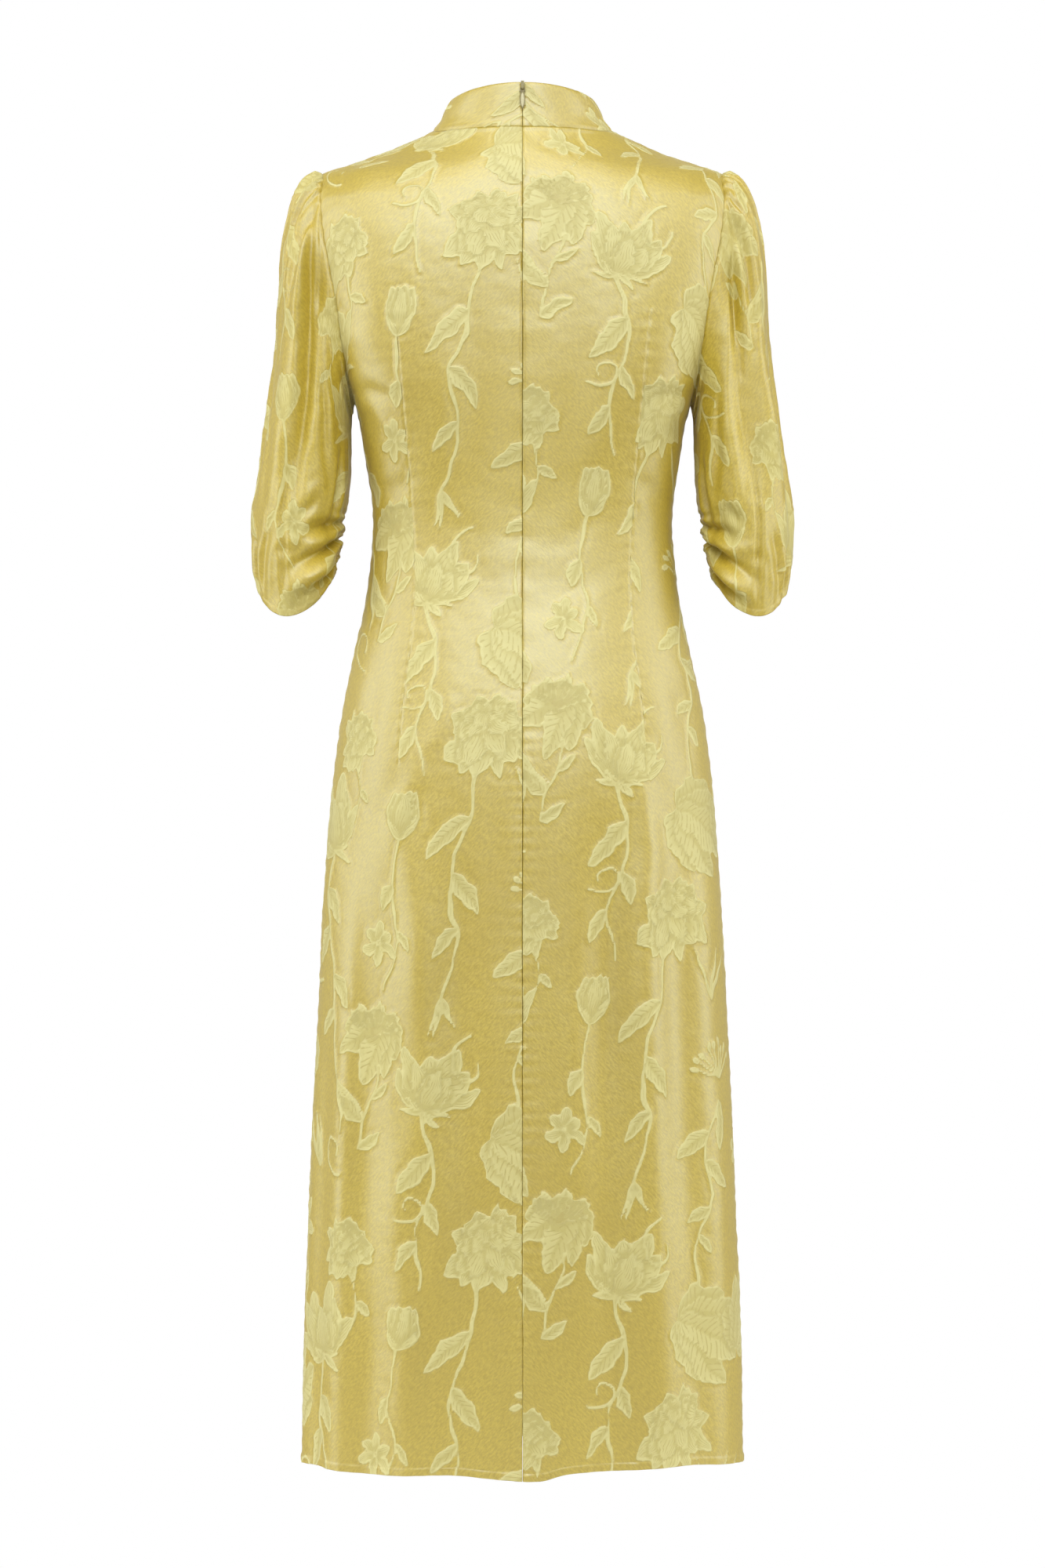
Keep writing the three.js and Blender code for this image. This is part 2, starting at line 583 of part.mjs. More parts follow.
function toManifold(geometry) {
  const bare = geometry.clone();
  bare.deleteAttribute('normal');
  bare.deleteAttribute('uv');
  const merged = mergeVertices(bare, 1e-5);
  const vertProperties = new Float32Array(merged.attributes.position.array);
  const triVerts = new Uint32Array(merged.index.array);
  return new wasm.Manifold(new wasm.Mesh({ numProp: 3, vertProperties, triVerts }));
}

function fromManifold(solid) {
  const mesh = solid.getMesh();
  const geometry = new THREE.BufferGeometry();
  geometry.setAttribute('position', new THREE.BufferAttribute(mesh.vertProperties, 3));
  geometry.setIndex(new THREE.BufferAttribute(mesh.triVerts, 1));
  return geometry;
}

const joined = (geometries) =>
  fromManifold(geometries.map(toManifold).reduce((sum, solid) => sum.add(solid)));

// A box from its extents in x, y and z
function block([x0, x1], [y0, y1], [z0, z1]) {
  const geometry = new THREE.BoxGeometry(x1 - x0, y1 - y0, z1 - z0);
  return geometry.translate((x0 + x1) / 2, (y0 + y1) / 2, (z0 + z1) / 2);
}

// A ring or pin round the hinge line, which runs along x at a height above the collar
function ringOnHinge(outer, bore, width) {
  const shape = new THREE.Shape().absarc(0, 0, outer, 0, 2 * Math.PI);
  if (bore > 0) {
    shape.holes.push(new THREE.Path().absarc(0, 0, bore, 0, 2 * Math.PI));
  }
  const geometry = new THREE.ExtrudeGeometry(shape, { depth: width, bevelEnabled: false, curveSegments: 10 });
  return geometry.translate(0, 0, -width / 2).rotateY(Math.PI / 2).translate(0, HINGE.stand, 0);
}

// The zip's hard parts stand on the collar at the centre back, with their z up along the collar.
const sliderSeat = collarPoint(0, SLIDER.rise);
const sliderOut = surfaceNormal(collarPoint, 0, SLIDER.rise, 0.05, 1);
const sliderLean = Math.atan2(sliderOut.z, sliderOut.y);

function placeOnCollar(object) {
  object.position.copy(sliderSeat);
  object.rotation.x = sliderLean;
  return object;
}

// The tape lies inside the centre back seam, made from the inner points of the panel and the collar
// nearest to it. Their rows above its bottom end give its rows.
function zipTape(panel, stand) {
  const coil = TAPE.coil / 2;
  const across = [
    { x: -TAPE.width / 2, thick: TAPE.thick },
    { x: -coil - TAPE.coilEdge, thick: TAPE.thick },
    { x: -coil, thick: TAPE.coilThick },
    { x: coil, thick: TAPE.coilThick },
    { x: coil + TAPE.coilEdge, thick: TAPE.thick },
    { x: TAPE.width / 2, thick: TAPE.thick },
  ];
  const strips = (layers) =>
    layers.inner.map((points, r) => ({ points, out: layers.outer[r][0].clone().sub(points[0]).normalize() }));
  const rows = [...strips(panel).filter(({ points }) => points[0].z > TAPE.bottom), ...strips(stand)];
  const top = rows.pop();
  const below = rows[rows.length - 1];
  const upper = below.points.map((point, i) => point.clone().lerp(top.points[i], TAPE.topShare));
  rows.push({ points: upper, out: top.out });
  const pointAt = ({ points, out }, x, depth) => {
    const after = Math.max(points.findIndex((point) => point.x > Math.abs(x)), 1);
    const [near, far] = [points[after - 1], points[after]];
    const point = near.clone().lerp(far, (Math.abs(x) - near.x) / (far.x - near.x));
    return point.addScaledVector(out, -depth).setX(x);
  };
  const layer = (depthOf) => rows.map((row) => across.map((line) => pointAt(row, line.x, depthOf(line))));
  const strip = wall({ outer: layer(() => SEAM), inner: layer(({ thick }) => SEAM + thick) });
  const slider = placeOnCollar(new THREE.Object3D());
  slider.updateMatrix();
  const half = SLOT.width / 2;
  const reach = TAPE.width;
  const slot = block([-half, half], [-reach, reach], [SLOT.bottom, reach]);
  const underTape = -COLLAR_WALL - SEAM - TAPE.thick;
  const room = block([-TAPE.coil, TAPE.coil], [-reach, underTape], [SLOT.bottom, reach]);
  const cutters = [slot, room].map((cutter) => toManifold(cutter.applyMatrix4(slider.matrix)));
  return fromManifold(cutters.reduce((left, cutter) => left.subtract(cutter), toManifold(strip)));
}

function zipSlider() {
  const across = ({ width }) => [-width / 2, width / 2];
  const underTape = -COLLAR_WALL - 2 * SEAM - TAPE.thick;
  const bodyDeep = [underTape - SLIDER_BODY.thick, underTape];
  const bridgeDeep = [underTape - BRIDGE.overlap, PLATE.from + BRIDGE.overlap];
  const plate = block(across(PLATE), [PLATE.from, PLATE.to], [SLIDER.bottom, SLIDER.top]);
  const bridge = block(across(BRIDGE), bridgeDeep, [SLIDER.bottom + BRIDGE.shorter, BRIDGE.top]);
  const body = block(across(SLIDER_BODY), bodyDeep, [SLIDER.bottom, SLIDER.top - SLIDER_BODY.shorter]);
  const lug = ringOnHinge(HINGE.lug, HINGE.bore, HINGE.lugWidth);
  return joined([plate, bridge, body, lug]);
}

function zipPull() {
  const half = HINGE.width / 2;
  const [low, high] = [HINGE.stand - PULL.thick / 2, HINGE.stand + PULL.thick / 2];
  const pin = ringOnHinge(HINGE.pin, 0, HINGE.width - 2 * ARM.overlap);
  const armHeights = [CROSSBAR.bottom, ARM.top];
  const armLeft = block([half - ARM.width, half], [low, high], armHeights);
  const armRight = block([-half, -half + ARM.width], [low, high], armHeights);
  const crossbar = block([-half, half], [low, high], [CROSSBAR.bottom, CROSSBAR.top]);
  const drop = new THREE.Shape();
  const top = CROSSBAR.bottom + CROSSBAR.overlap;
  drop.moveTo(PULL.neck / 2, top);
  drop.quadraticCurveTo(PULL.widest / 2, PULL.widestAt / 2, PULL.widest / 2, PULL.widestAt);
  drop.quadraticCurveTo(PULL.widest / 2, PULL.widestAt - PULL.curve, 0, PULL.tip);
  drop.quadraticCurveTo(-PULL.widest / 2, PULL.widestAt - PULL.curve, -PULL.widest / 2, PULL.widestAt);
  drop.quadraticCurveTo(-PULL.widest / 2, PULL.widestAt / 2, -PULL.neck / 2, top);
  const tab = new THREE.ExtrudeGeometry(drop, { depth: PULL.thick, bevelEnabled: false, curveSegments: 6 });
  tab.rotateX(Math.PI / 2).translate(0, high, 0);
  return joined([pin, armLeft, armRight, crossbar, tab]);
}

const SATIN = { color: 0xc8b755, roughness: 0.35, metalness: 0, side: THREE.DoubleSide };
const TAPE_CLOTH = { color: 0xbfae58, roughness: 0.8, metalness: 0 };
const METAL = { color: 0xd8cc98, roughness: 0.3, metalness: 0.8 };

function piece(name, geometry, finish) {
  const mesh = new THREE.Mesh(geometry, new THREE.MeshStandardMaterial(finish));
  mesh.name = name;
  return mesh;
}

const backLeft = backLayers(false);
const stand = collarLayers();

const dress = new THREE.Group();
dress.add(piece('back_left', wall(backLeft), SATIN));
dress.add(piece('back_right', wall(backLayers(true)), SATIN));
dress.add(piece('front', wall(frontLayers()), SATIN));
dress.add(piece('collar', wall(stand), SATIN));
dress.add(piece('sleeve_left', sleeve(1), SATIN));
dress.add(piece('sleeve_right', sleeve(-1), SATIN));
dress.add(piece('zip_tape', zipTape(backLeft, stand), TAPE_CLOTH));
dress.add(placeOnCollar(piece('zip_slider', zipSlider(), METAL)));
dress.add(placeOnCollar(piece('zip_pull', zipPull(), METAL)));

export default dress;
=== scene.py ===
# A midi dress of jacquard satin in the hollow form that it has when it is worn. Lengths in the
# tables are millimetres, and the meshes are in metres.
import math

import bpy
import numpy as np
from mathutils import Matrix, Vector


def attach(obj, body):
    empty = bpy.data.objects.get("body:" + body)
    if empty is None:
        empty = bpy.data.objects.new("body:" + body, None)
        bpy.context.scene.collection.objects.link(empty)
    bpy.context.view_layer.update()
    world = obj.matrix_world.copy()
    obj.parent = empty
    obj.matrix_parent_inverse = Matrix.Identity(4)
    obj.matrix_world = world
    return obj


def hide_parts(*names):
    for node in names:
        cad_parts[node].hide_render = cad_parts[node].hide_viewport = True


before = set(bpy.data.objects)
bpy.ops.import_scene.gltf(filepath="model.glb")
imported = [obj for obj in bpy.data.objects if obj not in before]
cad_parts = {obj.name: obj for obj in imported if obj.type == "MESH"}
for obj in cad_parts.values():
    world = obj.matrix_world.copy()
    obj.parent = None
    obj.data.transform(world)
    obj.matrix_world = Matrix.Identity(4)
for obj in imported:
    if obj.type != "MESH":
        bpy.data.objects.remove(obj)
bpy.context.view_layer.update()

MM = 0.001
HEM, WAIST, UNDERARM, YOKE, SHOULDER_TIP, NECK_TOP = -1186, -350, -232, -110, -23, 16
NECK_BACK, NECK_FRONT = 9.4, -25
SEAM = 0.3
CENTRE_BACK_GAP = 0.4
ZIP_BOTTOM = -505
TINY = 1e-6

# The body's sections: level, half width, depth behind and in front, power of the superellipse
BODY = [
    (16, 81, 66, 63, 2), (12, 88.8, 68, 64, 1.8), (3.6, 108.6, 74, 66, 1.58), (-5, 128.9, 80, 69, 1.52),
    (-13.5, 152.7, 86, 72.5, 1.58), (-23, 181, 91, 76, 1.7), (-35, 190.5, 95, 80, 1.95),
    (-50, 195.5, 98.5, 83.5, 2.2), (-80, 198, 104, 91, 2.4), (-110, 193.5, 107, 97, 2.5),
    (-150, 179, 107.5, 106, 2.8), (-180, 169.5, 107, 114, 2.9), (-215, 157.5, 104.5, 121, 2.9),
    (-232, 151.5, 102, 122, 2.8), (-250, 147, 98.7, 120, 2.65), (-290, 140.5, 89.5, 111, 2.4),
    (-320, 136.5, 83.8, 103, 2.25), (-350, 135.3, 81.2, 98, 2.2), (-390, 139, 84.3, 98, 2.2),
    (-420, 143.6, 89.9, 100, 2.15), (-450, 150.1, 97.5, 103, 2.15), (-505, 161.7, 109.6, 106, 2.1),
    (-560, 169.6, 116.5, 108, 2.1), (-620, 175.2, 117, 109, 2.05), (-690, 180, 115.5, 109, 2.05),
    (-790, 185.1, 115, 110, 2.05), (-930, 192, 116, 113, 2.05), (-1070, 197.3, 117.5, 116, 2.05),
    (-1186, 199.5, 118, 118, 2.05),
]
# Soft folds of the body: angle, spread, depth, top, full
BODY_FOLDS = [
    (16, 9, -2.5, -560, -760), (30, 8, 4, -540, -700), (43, 7, -4, -560, -800), (55, 7, 4.5, -520, -900),
    (69, 7, -3, -600, -1000), (-9, 7, 2, -600, -900), (-23, 8, -5, -560, -760), (-37, 8, 4, -540, -720),
    (-50, 7, -3, -580, -850), (-64, 8, 3, -560, -900), (109, 8, -3, -560, -900), (124, 8, 4, -520, -760),
    (141, 9, -4, -540, -780), (160, 9, 3, -560, -860), (179, 9, -3, -600, -900), (-162, 9, 4, -540, -760),
    (-143, 9, -4, -540, -800), (-126, 8, 3, -520, -820), (-108, 8, -3, -580, -900),
]
# How far the hem rises: angle, rise. The waves fade out within their reach above the hem.
HEM_WAVE_REACH = 90
HEM_WAVES = [
    (-180, 1), (-150, 4), (-120, 0), (-90, -1), (-67, 4), (-43, 8.5), (-28, 7.5), (-11, 6.5), (-4, 0.5),
    (5, 1.5), (18, 4.5), (40, 1.5), (65, 2), (90, -1), (120, 3), (150, 0), (180, 1),
]
ARMHOLE = {"middle": -127.5, "radius": 104.5, "back": 62, "front": 55}
# Darts: height, distance from the centre, and the cloth that the back's dart takes in
BACK_DART = [
    (-155, 113), (-232, 106.5), (-312, 100), (-360, 96.8), (-404, 95.8), (-452, 99), (-504, 106),
    (-558, 110),
]
FRONT_DART = [(-270, 92), (-370, 86), (-520, 94)]
BACK_DART_INTAKE = 24
# The collar: rise, half width, depth behind and in front
COLLAR = [(0, 81, 66, 63), (0.17, 77.7, 64.6, 61.6), (0.34, 74, 63.5, 60.6), (0.6, 71.2, 62, 59.5),
          (0.85, 67.5, 60.8, 58.5), (1, 64, 60, 58)]
COLLAR_TOP = {"back": 50, "side": 43.5, "front": 14}
# The pull's drop: height from the hinge, half width
PULL_OUTLINE = [(-3, 1.1), (-7, 2.05), (-11.5, 2.25), (-15.5, 1.5), (-18.5, 0)]
PULL_HINGE, PULL_LEAN, PULL_FACE = (0, 63.03, 43.82), 7.05, 0.5
INLAY = {"top": -4.4, "low": -17.4, "share": 0.62, "raised": 0.32, "rows": 34, "sides": 16}
COIL = {"half": 1.5, "deep": 0.45, "in": 0.55, "pitch": 1.45, "thick": 0.22, "steps": 7, "sides": 5,
        "low": -493, "top": 36}
# The sleeve's rings: station, outer x and z, inner x and z, depth behind and in front, middle y, droop
SLEEVE = [
    (0, 181, -23, 151, -232, 62, 55, 0, 0), (1, 189, -25, 153, -236, 62, 56, 0, 0),
    (2, 199, -33, 154.5, -243, 62, 57, 0, 0), (3, 208, -50, 155, -252, 62, 59, 0, 0),
    (4, 215, -77, 155, -262, 62, 60, 0, 0), (5, 219.5, -107, 155, -272, 62, 60, -1, 0),
    (6, 222, -140, 155.3, -282, 61, 60, -2, 0), (7, 224, -175, 155.7, -292, 61, 60, -3, 0),
    (8, 228, -210, 156.3, -302, 60, 60, -4, 0), (9, 233, -245, 157.2, -312, 59, 59, -5, 0),
    (10, 238, -280, 158.5, -322, 58, 58, -6, 1), (11, 243, -310, 160, -332, 58, 57, -7, 3),
    (12, 246, -333, 161.5, -342, 57, 56, -8, 7), (13, 246, -350, 163, -351, 56, 55, -9, 13),
    (14, 245.5, -365, 165, -360, 54, 53, -10, 21), (15, 244, -378, 168, -369, 52, 51, -11, 31),
    (16, 241, -390, 172, -378, 50, 49, -12, 40.6),
]
SLEEVE_END = 16
ARMPIT_X = 152
# Long soft folds of the sleeve: angle, spread, depth, start, full, fade, end
SLEEVE_FOLDS = [
    (52, 14, 7, 0.8, 3.5, 9, 12), (82, 12, -9, 0.8, 3, 8, 12), (112, 14, 3, 3, 6, 10, 13),
    (30, 12, -3, 5, 8, 12, 15), (120, 22, 4, 12, 13.6, 14.6, 16), (128, 20, -4, 10.6, 11.8, 12.2, 13.4),
    (-55, 15, 4, 1, 4, 9, 12), (-80, 14, -5, 1, 4, 8, 12), (-118, 20, 3, 11, 13, 15, 16),
]


def ramp(x, a, b):
    t = np.clip((x - a) / (b - a), 0, 1)
    return t * t * (3 - 2 * t)


def lerp(a, b, t):
    return a + (b - a) * t


def bell(x, width):
    return np.exp(-(x / width) ** 2)


def column(rows, place):
    """A smooth curve through one column of a table, held flat beyond its ends."""
    rows = np.array(rows, float)
    rows = rows[np.argsort(rows[:, 0])]
    keys, values = rows[:, 0], rows[:, place]
    above = np.minimum(np.arange(len(keys)) + 1, len(keys) - 1)
    below = np.maximum(np.arange(len(keys)) - 1, 0)
    slopes = (values[above] - values[below]) / (keys[above] - keys[below])

    def curve(at):
        at = np.clip(at, keys[0], keys[-1])
        i = np.clip(np.searchsorted(keys, at, "left") - 1, 0, len(keys) - 2)
        length = keys[i + 1] - keys[i]
        t = (at - keys[i]) / length
        start = (1 + 2 * t) * (1 - t) ** 2 * values[i] + t * (1 - t) ** 2 * length * slopes[i]
        end = t * t * (3 - 2 * t) * values[i + 1] + t * t * (t - 1) * length * slopes[i + 1]
        return start + end
    return curve


body_width, body_back, body_front, body_power = [column(BODY, i) for i in (1, 2, 3, 4)]
collar_width, collar_back, collar_front = [column(COLLAR, i) for i in (1, 2, 3)]
hem_rise = column(HEM_WAVES, 1)
back_dart_x = column(BACK_DART, 1)
front_dart_x = column(FRONT_DART, 1)
SLEEVE_COLUMNS = [column(SLEEVE, i) for i in range(1, 9)]


def turn(a, b):
    return (a - b + 540) % 360 - 180


def signed_power(value, power):
    return np.sign(value) * np.abs(value) ** power


def neck_height(behind, reach):
    bent = np.where(behind, 1 - (1 - reach) ** 2, reach ** 1.5)
    return lerp(NECK_TOP, np.where(behind, NECK_BACK, NECK_FRONT), bent)


def body_depth(angle, level):
    return np.where(np.cos(angle) >= 0, body_back(level), body_front(level))


def body_height(angle, level):
    behind = np.cos(angle) >= 0
    reach = np.abs(np.cos(angle)) ** (2 / body_power(level))
    tilted = lerp(YOKE, neck_height(behind, reach), (level - YOKE) / (NECK_TOP - YOKE))
    near_hem = np.clip(1 - (level - HEM) / HEM_WAVE_REACH, 0, 1)
    return np.where(level > YOKE, tilted, level + hem_rise(turn(np.degrees(angle), 0)) * near_hem)


def body_point(angle, level):
    width, depth = body_width(level), body_depth(angle, level)
    bend = 2 / body_power(level)
    x = width * signed_power(np.sin(angle), bend)
    y = depth * signed_power(np.cos(angle), bend)
    out = np.stack([x / width ** 2, y / depth ** 2], -1)
    out /= np.linalg.norm(out, axis=-1, keepdims=True)
    fold = 0
    for place, wide, deep, top, full in BODY_FOLDS:
        fold = fold + deep * bell(turn(np.degrees(angle), place), wide) * (1 - ramp(level, full, top))
    return np.stack([x + out[..., 0] * fold, y + out[..., 1] * fold, body_height(angle, level)], -1)


def unit(v):
    return v / np.maximum(np.linalg.norm(v, axis=-1, keepdims=True), 1e-9)


def body_normal(angle, level):
    aside = math.radians(0.6)
    across = body_point(angle + aside, level) - body_point(angle - aside, level)
    up = body_point(angle, np.minimum(level + 1, NECK_TOP)) - body_point(angle, level - 1)
    return unit(np.cross(up, across))


def angle_at_x(x, level):
    return np.arcsin((x / body_width(level)) ** (body_power(level) / 2))


def angle_at_y(y, level):
    depth = np.where(y > 0, body_back(level), body_front(level))
    cosine = np.arccos((np.abs(y) / depth) ** (body_power(level) / 2))
    return np.where(y > 0, cosine, math.pi - cosine)


def armhole_edge(turned, tries=14):
    """The angle and level of the armhole's edge, for a turn from 0 at the shoulder tip, positive behind."""
    turned = np.where(np.abs(turned) < TINY, TINY, turned)
    z = ARMHOLE["middle"] + ARMHOLE["radius"] * np.cos(np.radians(turned))
    y = np.where(turned > 0, ARMHOLE["back"], ARMHOLE["front"]) * np.sin(np.radians(turned))
    y = np.where(np.abs(y) < SEAM / 2, np.where(turned < 0, -1, 1) * SEAM / 2, y)
    angle, level = np.full(z.shape, math.pi / 2), z.copy()
    for _ in range(tries):
        reach = np.abs(y) / body_depth(angle, level)
        share = (z - YOKE) / (neck_height(y > 0, reach) - YOKE)
        level = np.where(z > YOKE, lerp(YOKE, NECK_TOP, share), z)
        angle = angle_at_y(y, level)
    return angle, level


# Meshes
def linked(name, data):
    thing = bpy.data.objects.new(name, data)
    bpy.context.scene.collection.objects.link(thing)
    return thing


def make_piece(name, points, faces, material, uv=None, values=None):
    mesh = bpy.data.meshes.new(name)
    faces = np.asarray(faces, np.int32)
    used, index = np.unique(faces.ravel(), return_inverse=True)
    points = np.asarray(points, float).reshape(-1, 3)[used] * MM
    sides = faces.shape[1]
    mesh.vertices.add(len(points))
    mesh.vertices.foreach_set("co", points.astype(np.float32).ravel())
    mesh.loops.add(faces.size)
    mesh.loops.foreach_set("vertex_index", index.astype(np.int32).ravel())
    mesh.polygons.add(len(faces))
    mesh.polygons.foreach_set("loop_start", np.arange(0, faces.size, sides, dtype=np.int32))
    mesh.update(calc_edges=True)
    if uv is not None:
        layer = mesh.uv_layers.new(name="cloth")
        flat = (np.asarray(uv, float).reshape(-1, 2)[used] * MM)[index.ravel()]
        layer.data.foreach_set("uv", flat.astype(np.float32).ravel())
    for key, value in (values or {}).items():
        layer = mesh.attributes.new(key, "FLOAT", "POINT")
        layer.data.foreach_set("value", np.asarray(value, np.float32).ravel()[used])
    mesh.shade_smooth()
    mesh.validate()
    mesh.materials.append(material)
    return linked(name, mesh)


def grid_faces(index, loop=False):
    if loop:
        index = np.concatenate([index, index[:, :1]], 1)
    return np.stack([index[:-1, :-1], index[:-1, 1:], index[1:, 1:], index[1:, :-1]], -1).reshape(-1, 4)


def surface_faces(points, loop=False):
    rows, columns = points.shape[:2]
    return grid_faces(np.arange(rows * columns).reshape(rows, columns), loop)


def circle(count):
    return np.linspace(0, 2 * math.pi, count + 1)[:-1]


def spread(count, near=(0.0, 0.0), steep=18, gather=0.045):
    """Shares from 0 to 1, gathered more closely at the ends that near names."""
    t = np.linspace(0, 1, count)

    def pull(s):
        return np.exp(-s * steep) - 1 + s * (1 - math.exp(-steep))

    t = t + gather * (near[0] * pull(t) - near[1] * pull(1 - t))
    return (t - t[0]) / (t[-1] - t[0])


class Grid:
    """A grid of cloth: points, outward directions, and values at each point, rows first."""

    def __init__(self, points, normals, values):
        self.points, self.normals, self.values = points, normals, values

    def raise_by(self, height):
        self.points = self.points + self.normals * height[..., None]

    def turned(self, axis, last, steps):
        """Cloth turned under at one edge. Each step is a distance along the grid and a depth under it."""
        points = np.moveaxis(self.points, axis, 0)
        order = np.arange(len(points))[::-1 if last else 1]
        lengths = np.linalg.norm(np.diff(points[order], axis=0), axis=-1).mean(1)
        run = np.concatenate([[0], np.cumsum(lengths)])
        picks = order[[int(np.argmin(np.abs(run - distance))) for distance, _ in steps]]
        depths = np.array([depth for _, depth in steps])[:, None, None]

        def extended(field, under=0.0):
            field = np.moveaxis(field, axis, 0)
            added = field[picks] - under
            field = np.concatenate([field, added] if last else [added[::-1], field], 0)
            return np.moveaxis(field, 0, axis)

        self.points = extended(self.points, np.moveaxis(self.normals, axis, 0)[picks] * depths)
        self.normals = extended(self.normals)
        for key, value in self.values.items():
            self.values[key] = extended(value)

    def tucked(self, below):
        """Rows of seam allowance put below the first row, where they lie inside the neighbouring panels."""
        self.points = np.concatenate([below, self.points])
        self.normals = np.concatenate([self.normals[:1]] * len(below) + [self.normals])
        for key, value in self.values.items():
            self.values[key] = np.concatenate([value[:1]] * len(below) + [value])


# The woven pattern: generic blossoms, buds, leaves, stems and tendrils in a half-drop repeat
REPEAT = (318.0, 452.0)
FAR = 60.0
# How far the shading beside a figure reaches
MARGIN = 9

# What the repeat holds. Sprays: path, lengths of the leaves, half width of the stem, seed, first leaf's place
SPRAYS = [
    ([(78, 372), (86, 320), (104, 268), (98, 214), (112, 168)], [44, 38, 30], 1.9, 1),
    ([(236, 296), (244, 240), (226, 190), (228, 140), (216, 92)], [36, 42, 34, 24], 1.8, 2),
    ([(152, 312), (160, 262), (154, 218), (170, 172)], [26, 22], 1.4, 3),
    ([(128, 66), (118, 10), (136, -46), (130, -92)], [40, 32, 28], 1.9, 5),
    ([(272, 96), (286, 44), (278, -4), (292, -44)], [24, 20], 1.4, 6),
    ([(282, 404), (272, 364), (284, 326)], [22], 1.4, 7),
    ([(20, 232), (36, 190), (28, 146), (46, 104), (40, 62)], [34, 40, 36, 28, 22], 1.5, 8, 0),
    ([(196, 30), (188, 66), (176, 98), (182, 130)], [26, 30, 24, 18], 1.4, 9, 0),
    ([(206, 384), (198, 344), (206, 318)], [20], 1.4, 10),
]
# Broad leaves and heads of seeds: place, direction, size, seed
BROAD_LEAVES = [(66, 44, 206, 88, 21), (306, 236, 112, 76, 22), (168, 150, 300, 66, 23)]
UMBELS = [(14, 252, 74, 30, 41), (182, 130, 104, 26, 42)]
# Tufts: place, direction, size, number of blades, seed
TUFTS = [
    (112, 168, 262, 52, 4, 31), (216, 92, 250, 46, 3, 32), (252, 12, 78, 58, 4, 33), (26, 322, 96, 54, 3, 34),
]
# Flowers: place, size, direction, seed
BLOSSOMS = [(70, 402, 53, 70, 11), (206, 396, 37, 118, 18)]
CUPS = [(236, 298, 56, 78, 12), (126, 68, 50, 104, 13)]
BUDS = [(150, 308, 38, 96, 14), (272, 92, 36, 82, 15)]
STARS = [(284, 412, 25, 20, 16), (176, 214, 21, 40, 17)]
# Tendrils: place, direction, size, turns
CURLS = [(158, 424, 200, 70, -0.9), (252, 180, 345, 74, 0.9), (82, 134, 335, 78, -0.7), (210, 8, 10, 72, 0.8)]


